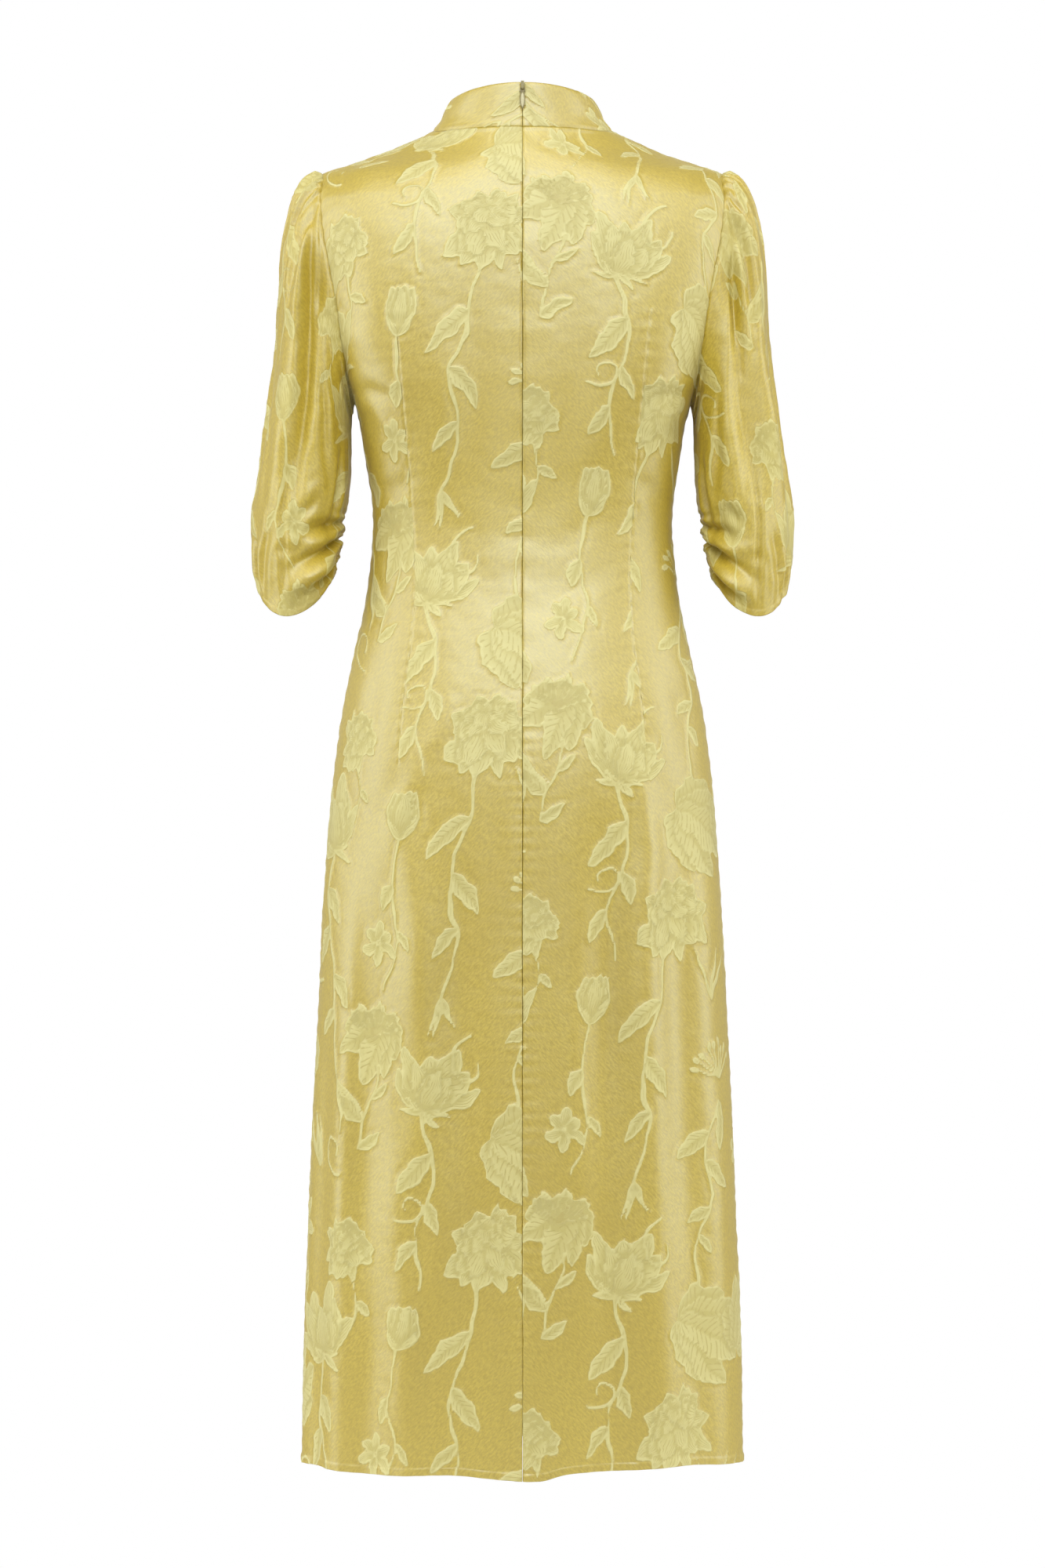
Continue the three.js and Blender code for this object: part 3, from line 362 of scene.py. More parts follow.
class Pattern:
    """Values over cloth coordinates: how far inside a figure, its tone with painted shade and painted
    highlight, and a count for the fine lines.
    """

    def __init__(self, u, v):
        self.shape = u.shape
        self.u, self.v = u.ravel(), v.ravel()
        self.inside = np.full(self.u.shape, -FAR)
        self.tone = np.zeros(self.u.shape)
        self.vein = np.zeros(self.u.shape)

    def near(self, x, y, reach):
        du, dv = self.u - x, self.v - y
        columns = np.round(du / REPEAT[0])
        du = du - columns * REPEAT[0]
        dv = dv - columns * REPEAT[1] / 2
        dv = dv - np.round(dv / REPEAT[1]) * REPEAT[1]
        picked = np.flatnonzero((np.abs(du) < reach) & (np.abs(dv) < reach))
        return picked, du[picked], dv[picked]

    def cover(self, picked, distance, vein, tone):
        """A form drawn over what lies under it, with a painted shadow on what lies under it beside its edge.
        """
        inside, old = self.inside[picked], self.tone[picked]
        over = distance >= 0
        # Beside the new form's edge, the figure under it is darkened as a painted shadow.
        self.tone[picked] = np.where(over, tone, old - np.where(inside > 0, 0.6 * bell(distance, 3.0), 0))
        self.vein[picked] = np.where(over, vein, self.vein[picked])
        self.inside[picked] = np.maximum(inside, distance)

    def petal(self, x, y, aim, length, width, base=0.7, tip=0.75, bend=0.0, wave=0.07, veins=3.5,
              leaf=False, phase=0.0):
        cos, sin = math.cos(math.radians(aim)), math.sin(math.radians(aim))
        mid = (x + cos * length / 2, y + sin * length / 2)
        picked, du, dv = self.near(*mid, length * 0.5 + width * 0.6 + abs(bend) * length + MARGIN)
        along = (du * cos + dv * sin) / length + 0.5
        aside = -du * sin + dv * cos
        held = np.clip(along, 0, 1)
        aside = aside - bend * length * held ** 2
        peak = base / (base + tip)
        shape = held ** base * (1 - held) ** tip / (peak ** base * (1 - peak) ** tip)
        frill = np.sin(17 * held + phase * 5 + np.sign(aside) * 2)
        frill = frill + 0.7 * held * np.sin(43 * held + phase * 9)
        half = width / 2 * shape * (1 + wave * frill)
        over = np.maximum(np.maximum(-along, along - 1), 0) * length
        distance = np.where(over > 0, -np.hypot(aside, over), (half - np.abs(aside)) * 0.9)
        across = aside / np.maximum(half, 0.5)
        if leaf:
            vein = held * length / 6 - np.abs(across) * 1.8
            tone = 0.62 + 0.16 * np.sign(aside) - 0.6 * bell(aside, 1.3)
        else:
            vein = across * veins + 0.5 * np.sin(5 * held + phase)
            tone = 0.2 + 0.7 * held + 0.1 * np.sin(phase * 7 + 3 * across)
        # The tone is lifted just inside each petal's edge: a painted highlight along the raised rim.
        self.cover(picked, distance, vein + phase * 3.7, tone + 0.3 * bell(distance - 0.4, 1.5))

    def stem(self, path, start, end=None):
        """A tapering stem through the points of a path."""
        path = np.array(path, float)
        middle = (path.min(0) + path.max(0)) / 2
        reach = (path.max(0) - path.min(0)).max() / 2 + start + MARGIN
        picked, du, dv = self.near(*middle, min(reach, REPEAT[0] / 2))
        best = np.full(len(picked), np.inf)
        end = start if end is None else end
        for k in range(len(path) - 1):
            a, b = path[k] - middle, path[k + 1] - middle
            ab = b - a
            t = np.clip(((du - a[0]) * ab[0] + (dv - a[1]) * ab[1]) / max(ab @ ab, 1e-9), 0, 1)
            radius = lerp(start, end, (k + t) / (len(path) - 1))
            best = np.minimum(best, np.hypot(du - a[0] - ab[0] * t, dv - a[1] - ab[1] * t) - radius)
        self.cover(picked, -best, 0.0, 0.85)

    def curl(self, x, y, aim, size, turns, thick=1.4, count=26):
        """A tendril that curls in as it grows."""
        t = np.linspace(0, 1, count)
        heading = np.radians(aim) + turns * 2 * math.pi * t ** 1.7
        step = size / count
        path = np.stack([x + np.cumsum(np.cos(heading)) * step, y + np.cumsum(np.sin(heading)) * step], -1)
        self.stem(path, thick, thick * 0.75)

    def blades(self, x, y, aim, size, count, seed):
        """A tuft of thin blades."""
        rng = np.random.default_rng(seed)
        for k in range(count):
            heading = aim + (k - (count - 1) / 2) * 17 + rng.uniform(-5, 5)
            long, bend = size * rng.uniform(0.6, 1.1), rng.uniform(-0.3, 0.3)
            self.petal(x, y, heading, long, 4.6, 0.4, 0.9, bend, 0.05, phase=rng.uniform(0, 2))

    def umbel(self, x, y, aim, size, seed, stalks=9):
        """A head of small seeds on fine stalks."""
        rng = np.random.default_rng(seed)
        for k in range(stalks):
            heading = math.radians(aim + (k - (stalks - 1) / 2) * 15 + rng.uniform(-4, 4))
            far = size * rng.uniform(0.8, 1.05)
            end = (x + far * math.cos(heading), y + far * math.sin(heading))
            self.stem([(x, y), end], 1.0, 1.0)
            self.petal(end[0], end[1], math.degrees(heading) + rng.uniform(-30, 30), 8.5, 5.4, 0.5, 0.6)

    def blossom(self, x, y, size, aim, seed):
        """A many-petalled flower turned partly to one side."""
        rng = np.random.default_rng(seed)
        face = math.radians(aim)
        for count, long, wide, ahead, tip in (
            (11, 1.0, 0.42, 0.0, 0.9), (9, 0.84, 0.44, 0.06, 0.75), (8, 0.62, 0.38, 0.13, 0.6),
            (6, 0.42, 0.3, 0.2, 0.55), (5, 0.27, 0.22, 0.26, 0.5),
        ):
            start = rng.uniform(0, 360)
            cx, cy = x + math.cos(face) * ahead * size, y + math.sin(face) * ahead * size
            headings = [start + k * 360 / count for k in range(count)]
            for even in sorted(headings, key=lambda h: math.cos(math.radians(h) - face), reverse=True):
                heading = even + rng.uniform(-11, 11)
                turned = math.cos(math.radians(heading) - face)
                length = size * long * (0.8 - 0.2 * turned) * rng.uniform(0.82, 1.14)
                self.petal(cx, cy, heading, length, size * wide * rng.uniform(0.75, 1.15), 0.72, tip,
                           rng.uniform(-0.22, 0.22), 0.1, 3.2, phase=rng.uniform(0, 2))

    def cup(self, x, y, size, aim, seed):
        """A half-open flower seen from the side."""
        rng = np.random.default_rng(seed)
        for turned, long, wide in ((-74, 0.84, 0.3), (70, 0.92, 0.32), (-46, 1.06, 0.38), (44, 1.0, 0.42),
                                   (-14, 1.0, 0.4), (18, 1.12, 0.38), (-30, 0.78, 0.36), (33, 0.74, 0.38),
                                   (-10, 0.6, 0.34), (12, 0.7, 0.36)):
            heading, length = aim + turned + rng.uniform(-6, 6), size * long * rng.uniform(0.9, 1.1)
            bend = -turned * 0.0032 + rng.uniform(-0.08, 0.08)
            self.petal(x, y, heading, length, size * wide, 0.8, 0.7, bend, 0.1, 3, phase=rng.uniform(0, 2))
        for turned in (-112, -82, 80, 118):
            length = size * rng.uniform(0.35, 0.55)
            self.petal(x, y, aim + turned, length, size * 0.13, 0.6, 0.9, 0.25, 0.06, 1, phase=1)

    def bud(self, x, y, size, aim, seed):
        rng = np.random.default_rng(seed)
        for turned, wide in ((-30, 0.46), (28, 0.5), (-12, 0.56), (10, 0.5), (0, 0.34)):
            self.petal(x, y, aim + turned, size * rng.uniform(0.86, 1.08), size * wide, 0.62, 0.7,
                       -turned * 0.007, 0.06, 3, phase=rng.uniform(0, 2))
        for turned in (-58, 52):
            self.petal(x, y, aim + turned, size * 0.56, size * 0.18, 0.6, 0.8, -turned * 0.004, 0.05, 1)

    def star(self, x, y, size, aim, seed):
        rng = np.random.default_rng(seed)
        for k in range(6):
            heading, length = aim + k * 60 + rng.uniform(-9, 9), size * rng.uniform(0.8, 1.15)
            bend = rng.uniform(-0.16, 0.16)
            self.petal(x, y, heading, length, size * 0.5, 0.8, 0.6, bend, 0.1, 3, phase=rng.uniform(0, 2))
        self.stem([(x, y)] * 2, size * 0.12)

    def broad_leaf(self, x, y, aim, size, seed):
        """A large torn leaf of overlapping lobes."""
        rng = np.random.default_rng(seed)
        for turned, long in ((-58, 0.62), (52, 0.68), (-30, 0.86), (26, 0.9), (-3, 1.0)):
            heading, width = aim + turned + rng.uniform(-5, 5), size * rng.uniform(0.34, 0.44)
            self.petal(x, y, heading, size * long, width, 0.6, 0.7, -turned * 0.0022, 0.1, leaf=True,
                       phase=rng.uniform(0, 2))

    def spray(self, path, leaves, start, seed, first=1, count=14):
        """A stem with leaves on alternate sides."""
        rng = np.random.default_rng(seed)
        path = np.array(path, float)
        fine = np.linspace(0, 1, count)
        run = np.linspace(0, 1, len(path))
        path = np.stack([column(np.column_stack([run, path[:, i]]), 1)(fine) for i in (0, 1)], -1)
        self.stem(path, start, start * 0.7)
        for k, size in enumerate(leaves):
            place = int((k + first) / (len(leaves) + first) * (count - 2))
            heading = np.degrees(np.arctan2(*(path[place + 1] - path[place])[::-1]))
            side = 1 if (k + seed) % 2 else -1
            heading = heading + side * rng.uniform(32, 66)
            length, width = size * rng.uniform(0.9, 1.25), size * rng.uniform(0.36, 0.54)
            bend = side * -rng.uniform(0.05, 0.3)
            self.petal(*path[place], heading, length, width, 0.62, 0.85, bend, 0.09, leaf=True,
                       phase=rng.uniform(0, 2))

    def draw(self):
        """Draws every motif, each one over those before it."""
        for motif, rows in (
            (self.spray, SPRAYS), (self.broad_leaf, BROAD_LEAVES), (self.blades, TUFTS),
            (self.blossom, BLOSSOMS), (self.cup, CUPS), (self.bud, BUDS), (self.star, STARS),
            (self.umbel, UMBELS), (self.curl, CURLS),
        ):
            for row in rows:
                motif(*row)
        return [field.reshape(self.shape) for field in (self.inside, self.tone, self.vein)]


def woven(grid, shift, turned=1):
    """Adds the pattern's values to a grid of cloth, and its low relief."""
    u, v = grid.values["u"] * turned + shift[0], grid.values["v"] + shift[1]
    bent = [5 * wavy(u, v, seed, 62) + 2.6 * wavy(u, v, seed + 1, 19) for seed in (31, 33)]
    inside, tone, vein = Pattern(u + bent[0], v + bent[1]).draw()
    grid.values.update(figure=inside, tone=tone, vein=vein)
    pucker = 0.4 * bell(inside - 0.8, 1.9) - 0.26 * bell(inside + 2.6, 2.2)
    grid.raise_by(pucker * (0.75 + 0.25 * np.sin(u * 0.21 + v * 0.17)))


def wavy(x, y, seed, scale, waves=7):
    """Soft uneven ripples from a few crossed waves."""
    rng = np.random.default_rng(seed)
    total = 0
    for _ in range(waves):
        heading = rng.uniform(0, 2 * math.pi)
        pitch = scale * rng.uniform(0.6, 1.7)
        along = x * math.cos(heading) + y * math.sin(heading)
        total = total + np.sin(along * 2 * math.pi / pitch + rng.uniform(0, 6.3))
    return total / waves


def arc(points, axis):
    step = np.linalg.norm(np.diff(points, axis=axis), axis=-1)
    pad = [(0, 0), (0, 0)]
    pad[axis] = (1, 0)
    return np.cumsum(np.pad(step, pad), axis=axis)


def up_from_waist(points, levels):
    v = arc(points, 0)
    return v - v[np.argmin(np.abs(levels[:, 0] - WAIST))]


# Creases of the back and front panels: x and z of both ends, depth, width
BACK_CREASES = [
    (96, -560, 118, -640, 1.6, 9), (98, -570, 84, -690, -1.4, 10), (128, -470, 150, -560, -1.0, 9),
    (60, -500, 92, -560, 0.9, 8), (-96, -560, -122, -650, 1.5, 9), (-99, -570, -86, -700, -1.3, 11),
    (-128, -470, -152, -570, -1.1, 10), (-58, -505, -92, -570, 0.9, 9),
    (20, -352, 84, -306, 0.5, 13), (12, -410, 80, -372, -0.6, 14), (-14, -350, -84, -312, 0.5, 12),
    (-12, -416, -84, -376, -0.6, 14), (98, -300, 132, -322, -0.9, 8), (-98, -306, -132, -326, -0.9, 8),
    (148, -232, 112, -262, 1.1, 7), (150, -222, 104, -236, -0.9, 6), (-148, -232, -110, -266, 1.1, 7),
    (-150, -220, -106, -240, -0.9, 6), (160, -170, 118, -206, 0.8, 9), (-160, -168, -116, -210, 0.8, 9),
    (46, -150, 40, -300, -1.1, 14), (-44, -140, -42, -300, -1.1, 14), (74, -180, 70, -300, 0.8, 12),
    (-76, -176, -72, -300, 0.8, 12), (8, -596, 20, -700, 1.0, 9), (-8, -600, -16, -720, -0.9, 9),
    (144, -560, 152, -1120, -3.4, 14), (108, -640, 116, -1130, -1.4, 16), (56, -660, 46, -1080, -2.0, 16),
    (-70, -590, -80, -920, -3.0, 16), (-128, -560, -142, -1100, -2.8, 15), (-22, -720, -30, -1130, -1.8, 15),
    (-104, -800, -112, -1160, -1.6, 15), (20, -900, 14, -1170, -1.8, 14), (84, -900, 90, -1170, -2.0, 12),
]
FRONT_CREASES = [
    (60, -190, 92, -268, 1.0, 11), (-62, -188, -94, -270, 1.0, 11), (20, -352, 84, -322, 0.5, 13),
    (-18, -356, -84, -326, 0.5, 13), (92, -300, 132, -320, -0.9, 7), (-92, -304, -132, -324, -0.9, 7),
    (94, -530, 70, -640, -1.3, 10), (-94, -530, -74, -650, -1.3, 10), (120, -500, 148, -590, 1.1, 9),
    (-118, -500, -146, -594, 1.1, 9), (134, -560, 146, -1120, -3.6, 12), (66, -600, 74, -960, -3.0, 14),
    (20, -700, 26, -1120, -1.8, 16), (-46, -640, -40, -1080, -2.6, 15), (-96, -620, -108, -1100, -2.4, 13),
    (-140, -560, -150, -1100, -3.2, 12),
]


def creases(x, z, table, across=1.0, along=1.0):
    """Troughs and ridges with a soft swell on both sides, from the rows of a table."""
    total = np.zeros(x.shape)
    for x0, z0, x1, z1, depth, width in table:
        dx, dz = (x1 - x0) * across, (z1 - z0) * along
        px, pz = (x - x0) * across, (z - z0) * along
        t = (px * dx + pz * dz) / (dx * dx + dz * dz)
        aside = (px * dz - pz * dx) / math.hypot(dx, dz)
        aside = aside + 0.3 * width * np.sin(t * 5 + depth * 3)
        profile = bell(aside, width) - 0.4 * bell(np.abs(aside) - 1.8 * width, width)
        total += depth * profile * ramp(t, -0.15, 0.3) * (1 - ramp(t, 0.55, 1.15))
    return total


# Rows of the hem, above its edge
HEM_ROWS = [0, 0.6, 1.4, 2.4, 3.8, 5.2, 6.2, 6.8, 7.4, 8.2, 9.6, 11.4]


def panel_levels(spacing, round_step):
    near_hem = HEM + np.array(HEM_ROWS)
    count = int((UNDERARM - near_hem[-1]) / spacing)
    below = np.concatenate([near_hem, np.linspace(near_hem[-1], UNDERARM, count)[1:-1]])
    rounds = np.linspace(180, 0, int(180 / round_step))
    above = np.linspace(SHOULDER_TIP, NECK_TOP, 24)[1:]
    return below, rounds, above


def half_panel(side, start_x, spacing, round_step, counts):
    """Angles and levels of half a panel on the left, from its centre line to its edge."""
    below, rounds, above = panel_levels(spacing, round_step)
    edge_angle, edge_level = armhole_edge(side * np.maximum(rounds, TINY))
    edge_y = side * SEAM / 2
    even = np.linspace(UNDERARM, edge_level[-1], len(rounds))
    edges = np.concatenate([angle_at_y(edge_y, below), edge_angle, angle_at_y(edge_y, above)])[:, None]
    # Rows are even at the centre and follow the armhole at the edge.
    share = np.linspace(0, 1, counts[0] - 1 + counts[1])[None, :] ** 3
    centre, edge = [np.concatenate([below, middle, above])[:, None] for middle in (even, edge_level)]
    levels = lerp(centre, edge, share)
    table, dart_x = (BACK_DART, back_dart_x) if side > 0 else (FRONT_DART, front_dart_x)
    held = np.clip(levels, table[-1][0], table[0][0])
    dart = angle_at_x(dart_x(held), held)
    start = angle_at_x(start_x, levels) if side > 0 else math.pi + 0 * levels
    dart = dart if side > 0 else math.pi - dart
    first = counts[0] - 1
    inner = lerp(start, dart, np.pad(spread(counts[0], (1, 1) if side > 0 else (0, 1))[:-1], (0, counts[1])))
    outer = lerp(dart, edges, np.pad(spread(counts[1], (1, 1)), (first, 0)))
    angles = np.concatenate([inner[:, :first], outer[:, first:]], 1)
    at_dart = levels[:, first]
    return angles, levels, first, (at_dart < table[0][0]) & (at_dart > table[-1][0])


# How edges turn under: distance along the cloth, depth under it
TURN_SIDE = [(0.0, 0.8), (3.0, 1.25), (9.0, 1.3)]
TURN_HEM = [(0.0, 0.9), (3.0, 1.2), (7.0, 1.2)]
TURN_SLIT = [(0.0, 0.9), (2.0, 1.9)]
TURN_COLLAR = [(0.3, 1.0), (1.2, 1.9), (4.0, 2.2), (12.0, 2.2), (22.0, 2.2), (32.0, 2.2), (60.0, 2.0)]
# Seam allowances inside the body's panels: distance past the seam, depth
SLEEVE_ALLOWANCE = [(3.6, 1.5), (0.3, 0.8)]
COLLAR_ALLOWANCE = [(4.2, 3.4), (0.5, 1.2)]


def turn_panel_edges(grid):
    grid.turned(1, False, TURN_SIDE)
    grid.turned(1, True, TURN_SIDE)
    grid.turned(0, False, TURN_HEM)
    grid.turned(0, True, TURN_SIDE)


def seam_profile(distance):
    return -0.6 * bell(distance, 0.9) + 0.14 * bell(distance - 2.4, 1.5)


def puckers(along, pitch, drift, distance, reach, sway=1):
    """Uneven ripples along a line of stitches, which fade with the distance from it."""
    return np.sin(along * 2 * math.pi / pitch + sway * np.sin(along / drift)) * np.exp(-distance / reach)


def hem_relief(from_hem, along, stitch_pitch=2.6):
    doubled = 0.55 * (1 - ramp(from_hem, 6.2, 8.4))
    stitches = 0.4 * bell(from_hem - 6.8, 0.8) * (0.8 + 0.2 * np.sin(along * 2 * math.pi / stitch_pitch))
    return doubled - stitches + 0.35 * puckers(along, 17, 13, from_hem, 9)


def panel_relief(points, u, v, from_edge, table, seeds):
    """What every panel has: side and top seams, the hem, creases and a soft unevenness."""
    height = seam_profile(from_edge) + seam_profile(v[-1] - v) * 0.3
    height += 0.3 * puckers(v, 15, 19, from_edge, 9) + hem_relief(v - v[0], u)
    height += creases(points[..., 0], points[..., 2], table)
    return height + 0.9 * wavy(u, v * 0.6, seeds[0], 62) + 0.22 * wavy(u, v * 1.2, seeds[1], 24)


def back_panel(name, mirror, shift, material):
    angles, levels, dart, sewn = half_panel(
        1, CENTRE_BACK_GAP / 2, spacing=2.08, round_step=1.12, counts=(62, 78))
    if mirror:
        angles = -angles
    # The dart's column is doubled, so that the woven pattern can break there.
    angles = np.insert(angles, dart, angles[:, dart], axis=1)
    levels = np.insert(levels, dart, levels[:, dart], axis=1)
    points, normals = body_point(angles, levels), body_normal(angles, levels)
    u, v = arc(points, 1), up_from_waist(points, levels)
    top, low = BACK_DART[0][0], BACK_DART[-1][0]
    along_dart = np.clip((levels[:, :1] - low) / (top - low), 0, 1)
    intake = BACK_DART_INTAKE * np.sin(math.pi * along_dart) ** 1.2
    cloth_u = u + np.where(np.arange(u.shape[1]) > dart, intake, 0)
    grid = Grid(points, normals, {"u": cloth_u, "v": v})
    woven(grid, shift, -1 if mirror else 1)
    from_dart = np.abs(u - u[:, [dart]])
    from_edge = u[:, -1:] - u
    zipped = ramp(levels, ZIP_BOTTOM - 30, ZIP_BOTTOM + 10)
    dart_share = np.where(sewn, 1.0, 0.0)[:, None]
    height = panel_relief(grid.points, u, v, from_edge, BACK_CREASES, (3 + mirror, 5 + mirror))
    height += seam_profile(u) + 0.45 * bell(v[-1] - v - 1.4, 1.0)
    height += dart_share * (-0.4 * bell(from_dart, 1.1) + 0.1 * bell(from_dart - 2.8, 2))
    height += 0.3 * puckers(v, 11, 37, u, 9, 2) * (1 - zipped)
    height += 0.5 * puckers(v, 34, 61, u, 14, 1.5) * zipped
    height += 0.28 * dart_share * puckers(v, 13, 23, from_dart, 7)
    grid.raise_by(height)
    turn_panel_edges(grid)
    index = np.arange(grid.points[..., 0].size).reshape(grid.points.shape[:2])
    double = dart + 1 + len(TURN_SIDE)
    whole = np.concatenate([[True] * len(TURN_HEM), ~sewn, [True] * len(TURN_SIDE)])
    index[whole, double] = index[whole, double - 1]
    faces = np.concatenate([grid_faces(index[:, :double]), grid_faces(index[:, double:])])
    return cloth_piece(name, grid, faces, material, flip=not mirror)


def cloth_piece(name, grid, faces, material, flip):
    if flip:
        faces = faces[:, ::-1]
    uv = np.stack([grid.values["u"], grid.values["v"]], -1)
    values = {key: grid.values[key] for key in ("figure", "tone", "vein")}
    piece = make_piece(name, grid.points, faces, material, uv, values)
    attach(piece, "garment")
    return piece


def front_panel(name, shift, material):
    angles, levels, dart, sewn = half_panel(-1, 0, spacing=2.85, round_step=1.6, counts=(52, 50))
    angles = np.concatenate([angles[:, ::-1], 2 * math.pi - angles[:, 1:]], 1)
    levels = np.concatenate([levels[:, ::-1], levels[:, 1:]], 1)
    middle = angles.shape[1] // 2
    points, normals = body_point(angles, levels), body_normal(angles, levels)
    run = arc(points, 1)
    u, v = run - run[:, [middle]], up_from_waist(points, levels)
    grid = Grid(points, normals, {"u": u, "v": v})
    woven(grid, shift, -1)
    from_dart = np.minimum(*[np.abs(u - u[:, [place]]) for place in (middle + dart, middle - dart)])
    from_edge = np.minimum(run, run[:, -1:] - run)
    dart_share = np.where(sewn, 1.0, 0.0)[:, None]
    height = panel_relief(grid.points, u, v, from_edge, FRONT_CREASES, (7, 8))
    height += dart_share * (-0.45 * bell(from_dart, 1.4) + 0.1 * bell(from_dart - 3, 2))
    grid.raise_by(height)
    turn_panel_edges(grid)
    return cloth_piece(name, grid, surface_faces(grid.points), material, flip=True)


# Sleeves
PLEAT_LINES = [-41, -32, -23.5, -13.5, -4, 5, 14, 22.5, 30, 37.5, 44.5]
# Creases of the sleeve: turn and station of both ends, depth, width in millimetres
SLEEVE_CREASES = [
    (50, 0.7, 58, 5.8, -5.5, 5), (57, 1.1, 86, 4.8, -3.6, 4.5), (68, 2.0, 72, 9.5, 2.4, 8),
    (22, 0.6, 30, 4.6, -2.6, 4), (37, 0.7, 46, 4.0, -3.0, 3.6), (146, 6.6, 143, 12.4, -3.4, 4.5),
    (180, 1.2, 132, 0.9, 3.2, 5),
    (180, 2.3, 128, 2.0, -2.8, 5), (77, 9.6, 80, 15.4, -1.8, 3.6), (174, 12.9, 82, 14.1, -5.0, 4.6),
    (174, 15.5, 110, 15.0, -3.8, 3.6), (152, 14.1, 86, 14.7, 3.8, 6), (168, 11.5, 104, 12.4, -2.8, 4),
    (60, 12.0, 42, 15.6, -2.2, 5), (28, 13.0, 36, 16, -2.8, 4.5), (108, 4.8, 128, 9.8, -2.6, 6),
    (96, 6.5, 102, 11.5, 1.8, 7), (12, 4.5, 18, 11, -1.6, 7), (40, 7, 34, 12.5, 1.6, 8),
    (120, 10.6, 90, 11.6, -1.6, 4), (112, 13.0, 70, 13.2, -1.4, 3.4),
    (-48, 0.7, -58, 5.4, -4.2, 5), (-58, 1.2, -86, 4.8, -3.0, 5), (-30, 0.7, -38, 3.9, -2.6, 4),
    (-146, 7.0, -142, 12.2, -2.8, 5), (-172, 12.6, -94, 13.9, -4.2, 4.6), (-170, 15.2, -116, 15.0, -3.2, 4),
    (-150, 14.0, -94, 14.6, 3.2, 6), (-168, 11.2, -110, 12.1, -2.4, 4), (-80, 10.0, -84, 15.2, -1.6, 4),
    (-40, 12.4, -36, 15.8, -2.2, 5), (-104, 4.6, -122, 9.4, -2.4, 6),
]
SLEEVE_CREASE_DEPTH = 1.4
# Rows of the sleeve's mesh: from and to station, count
SLEEVE_ROWS = [(0, 3, 56), (3, 10, 78), (10, SLEEVE_END, 120)]
# Creases of the ruched underarm seam: station, depth, width, reach behind, reach in front, slant
RUCHE_LINES = [
    (10.9, -2.6, 0.3, 46, 42, 0.4), (11.7, -4.2, 0.34, 66, 52, 0.5), (12.5, -3.8, 0.28, 52, 62, 0.3),
    (13.3, -5.2, 0.34, 70, 70, 0.6), (14.1, -4.8, 0.28, 60, 84, 0.3), (14.75, -5.2, 0.28, 76, 60, 0.5),
    (15.4, -3.6, 0.24, 54, 48, 0.2),
]


def sleeve_ring(turned, station):
    out_x, out_z, in_x, in_z, back, front, mid, droop = [curve(station) for curve in SLEEVE_COLUMNS]
    angle = np.radians(turned)
    behind = np.sin(angle) >= 0
    outer, inner = np.stack([out_x, mid, out_z], -1), np.stack([in_x, mid, in_z], -1)
    middle = (outer + inner) / 2
    point = middle + (outer - middle) * np.cos(angle)[..., None]
    point[..., 1] += np.where(behind, back, front) * np.sin(angle)
    point[..., 2] -= droop * np.where(behind, 1, 0.6) * np.abs(np.sin(angle)) ** 1.3
    return point, unit(point - middle)


def ruched(turned, station):
    from_seam = turn(turned, 180)
    total = np.zeros(np.shape(turned))
    for place, depth, width, behind, before, slant in RUCHE_LINES:
        reach = np.where(from_seam <= 0, behind, before)
        share = np.abs(from_seam) / reach
        line = place + slant * share ** 1.5
        along = 1 - ramp(share, 0.15, 1.25)
        trough = bell(station - line, width) - 0.42 * bell(station - line - 0.42, width * 1.2)
        total += along * depth * trough
    return total


def sleeve_surface(turned, station, variant):
    point, outward = sleeve_ring(turned, station)
    angle, level = armhole_edge(turned)
    seam = body_point(angle, level) + [SEAM, 0, 0]
    to_seam = seam - sleeve_ring(turned, np.zeros_like(station))[0]
    point = point + to_seam * (1 - ramp(station, 0, 2))[..., None]
    folded = 0
    for place, wide, deep, start, full, fade, end in SLEEVE_FOLDS:
        share = ramp(station, start, full) * (1 - ramp(station, fade, end))
        folded = folded + deep * bell(turn(turned, place + variant * 4), wide) * share
    pleats = 0
    for k, line in enumerate(PLEAT_LINES):
        off = turned - line * (1 + 0.05 * station) + 0.8 * np.sin(k * 2.1 + variant)
        steep = np.where(np.sign(line) * off < 0, 3.4, 1.3)
        length = 1 - ramp(station, 1.6 + k % 3, 4.6 + k % 3)
        pleats = pleats + (3.4 + np.sin(k * 1.7)) * bell(off, steep) * length
    shifted = turned + variant * 2.5
    folded = folded + pleats * np.clip(station * 1.2, 0, 1) + ruched(turned, station + 0.12 * variant)
    moved = station + 0.15 * (variant - 1)
    creased = creases(shifted, moved, SLEEVE_CREASES, across=0.9, along=12.0)
    folded = folded + SLEEVE_CREASE_DEPTH * creased
    return point + outward * folded[..., None]


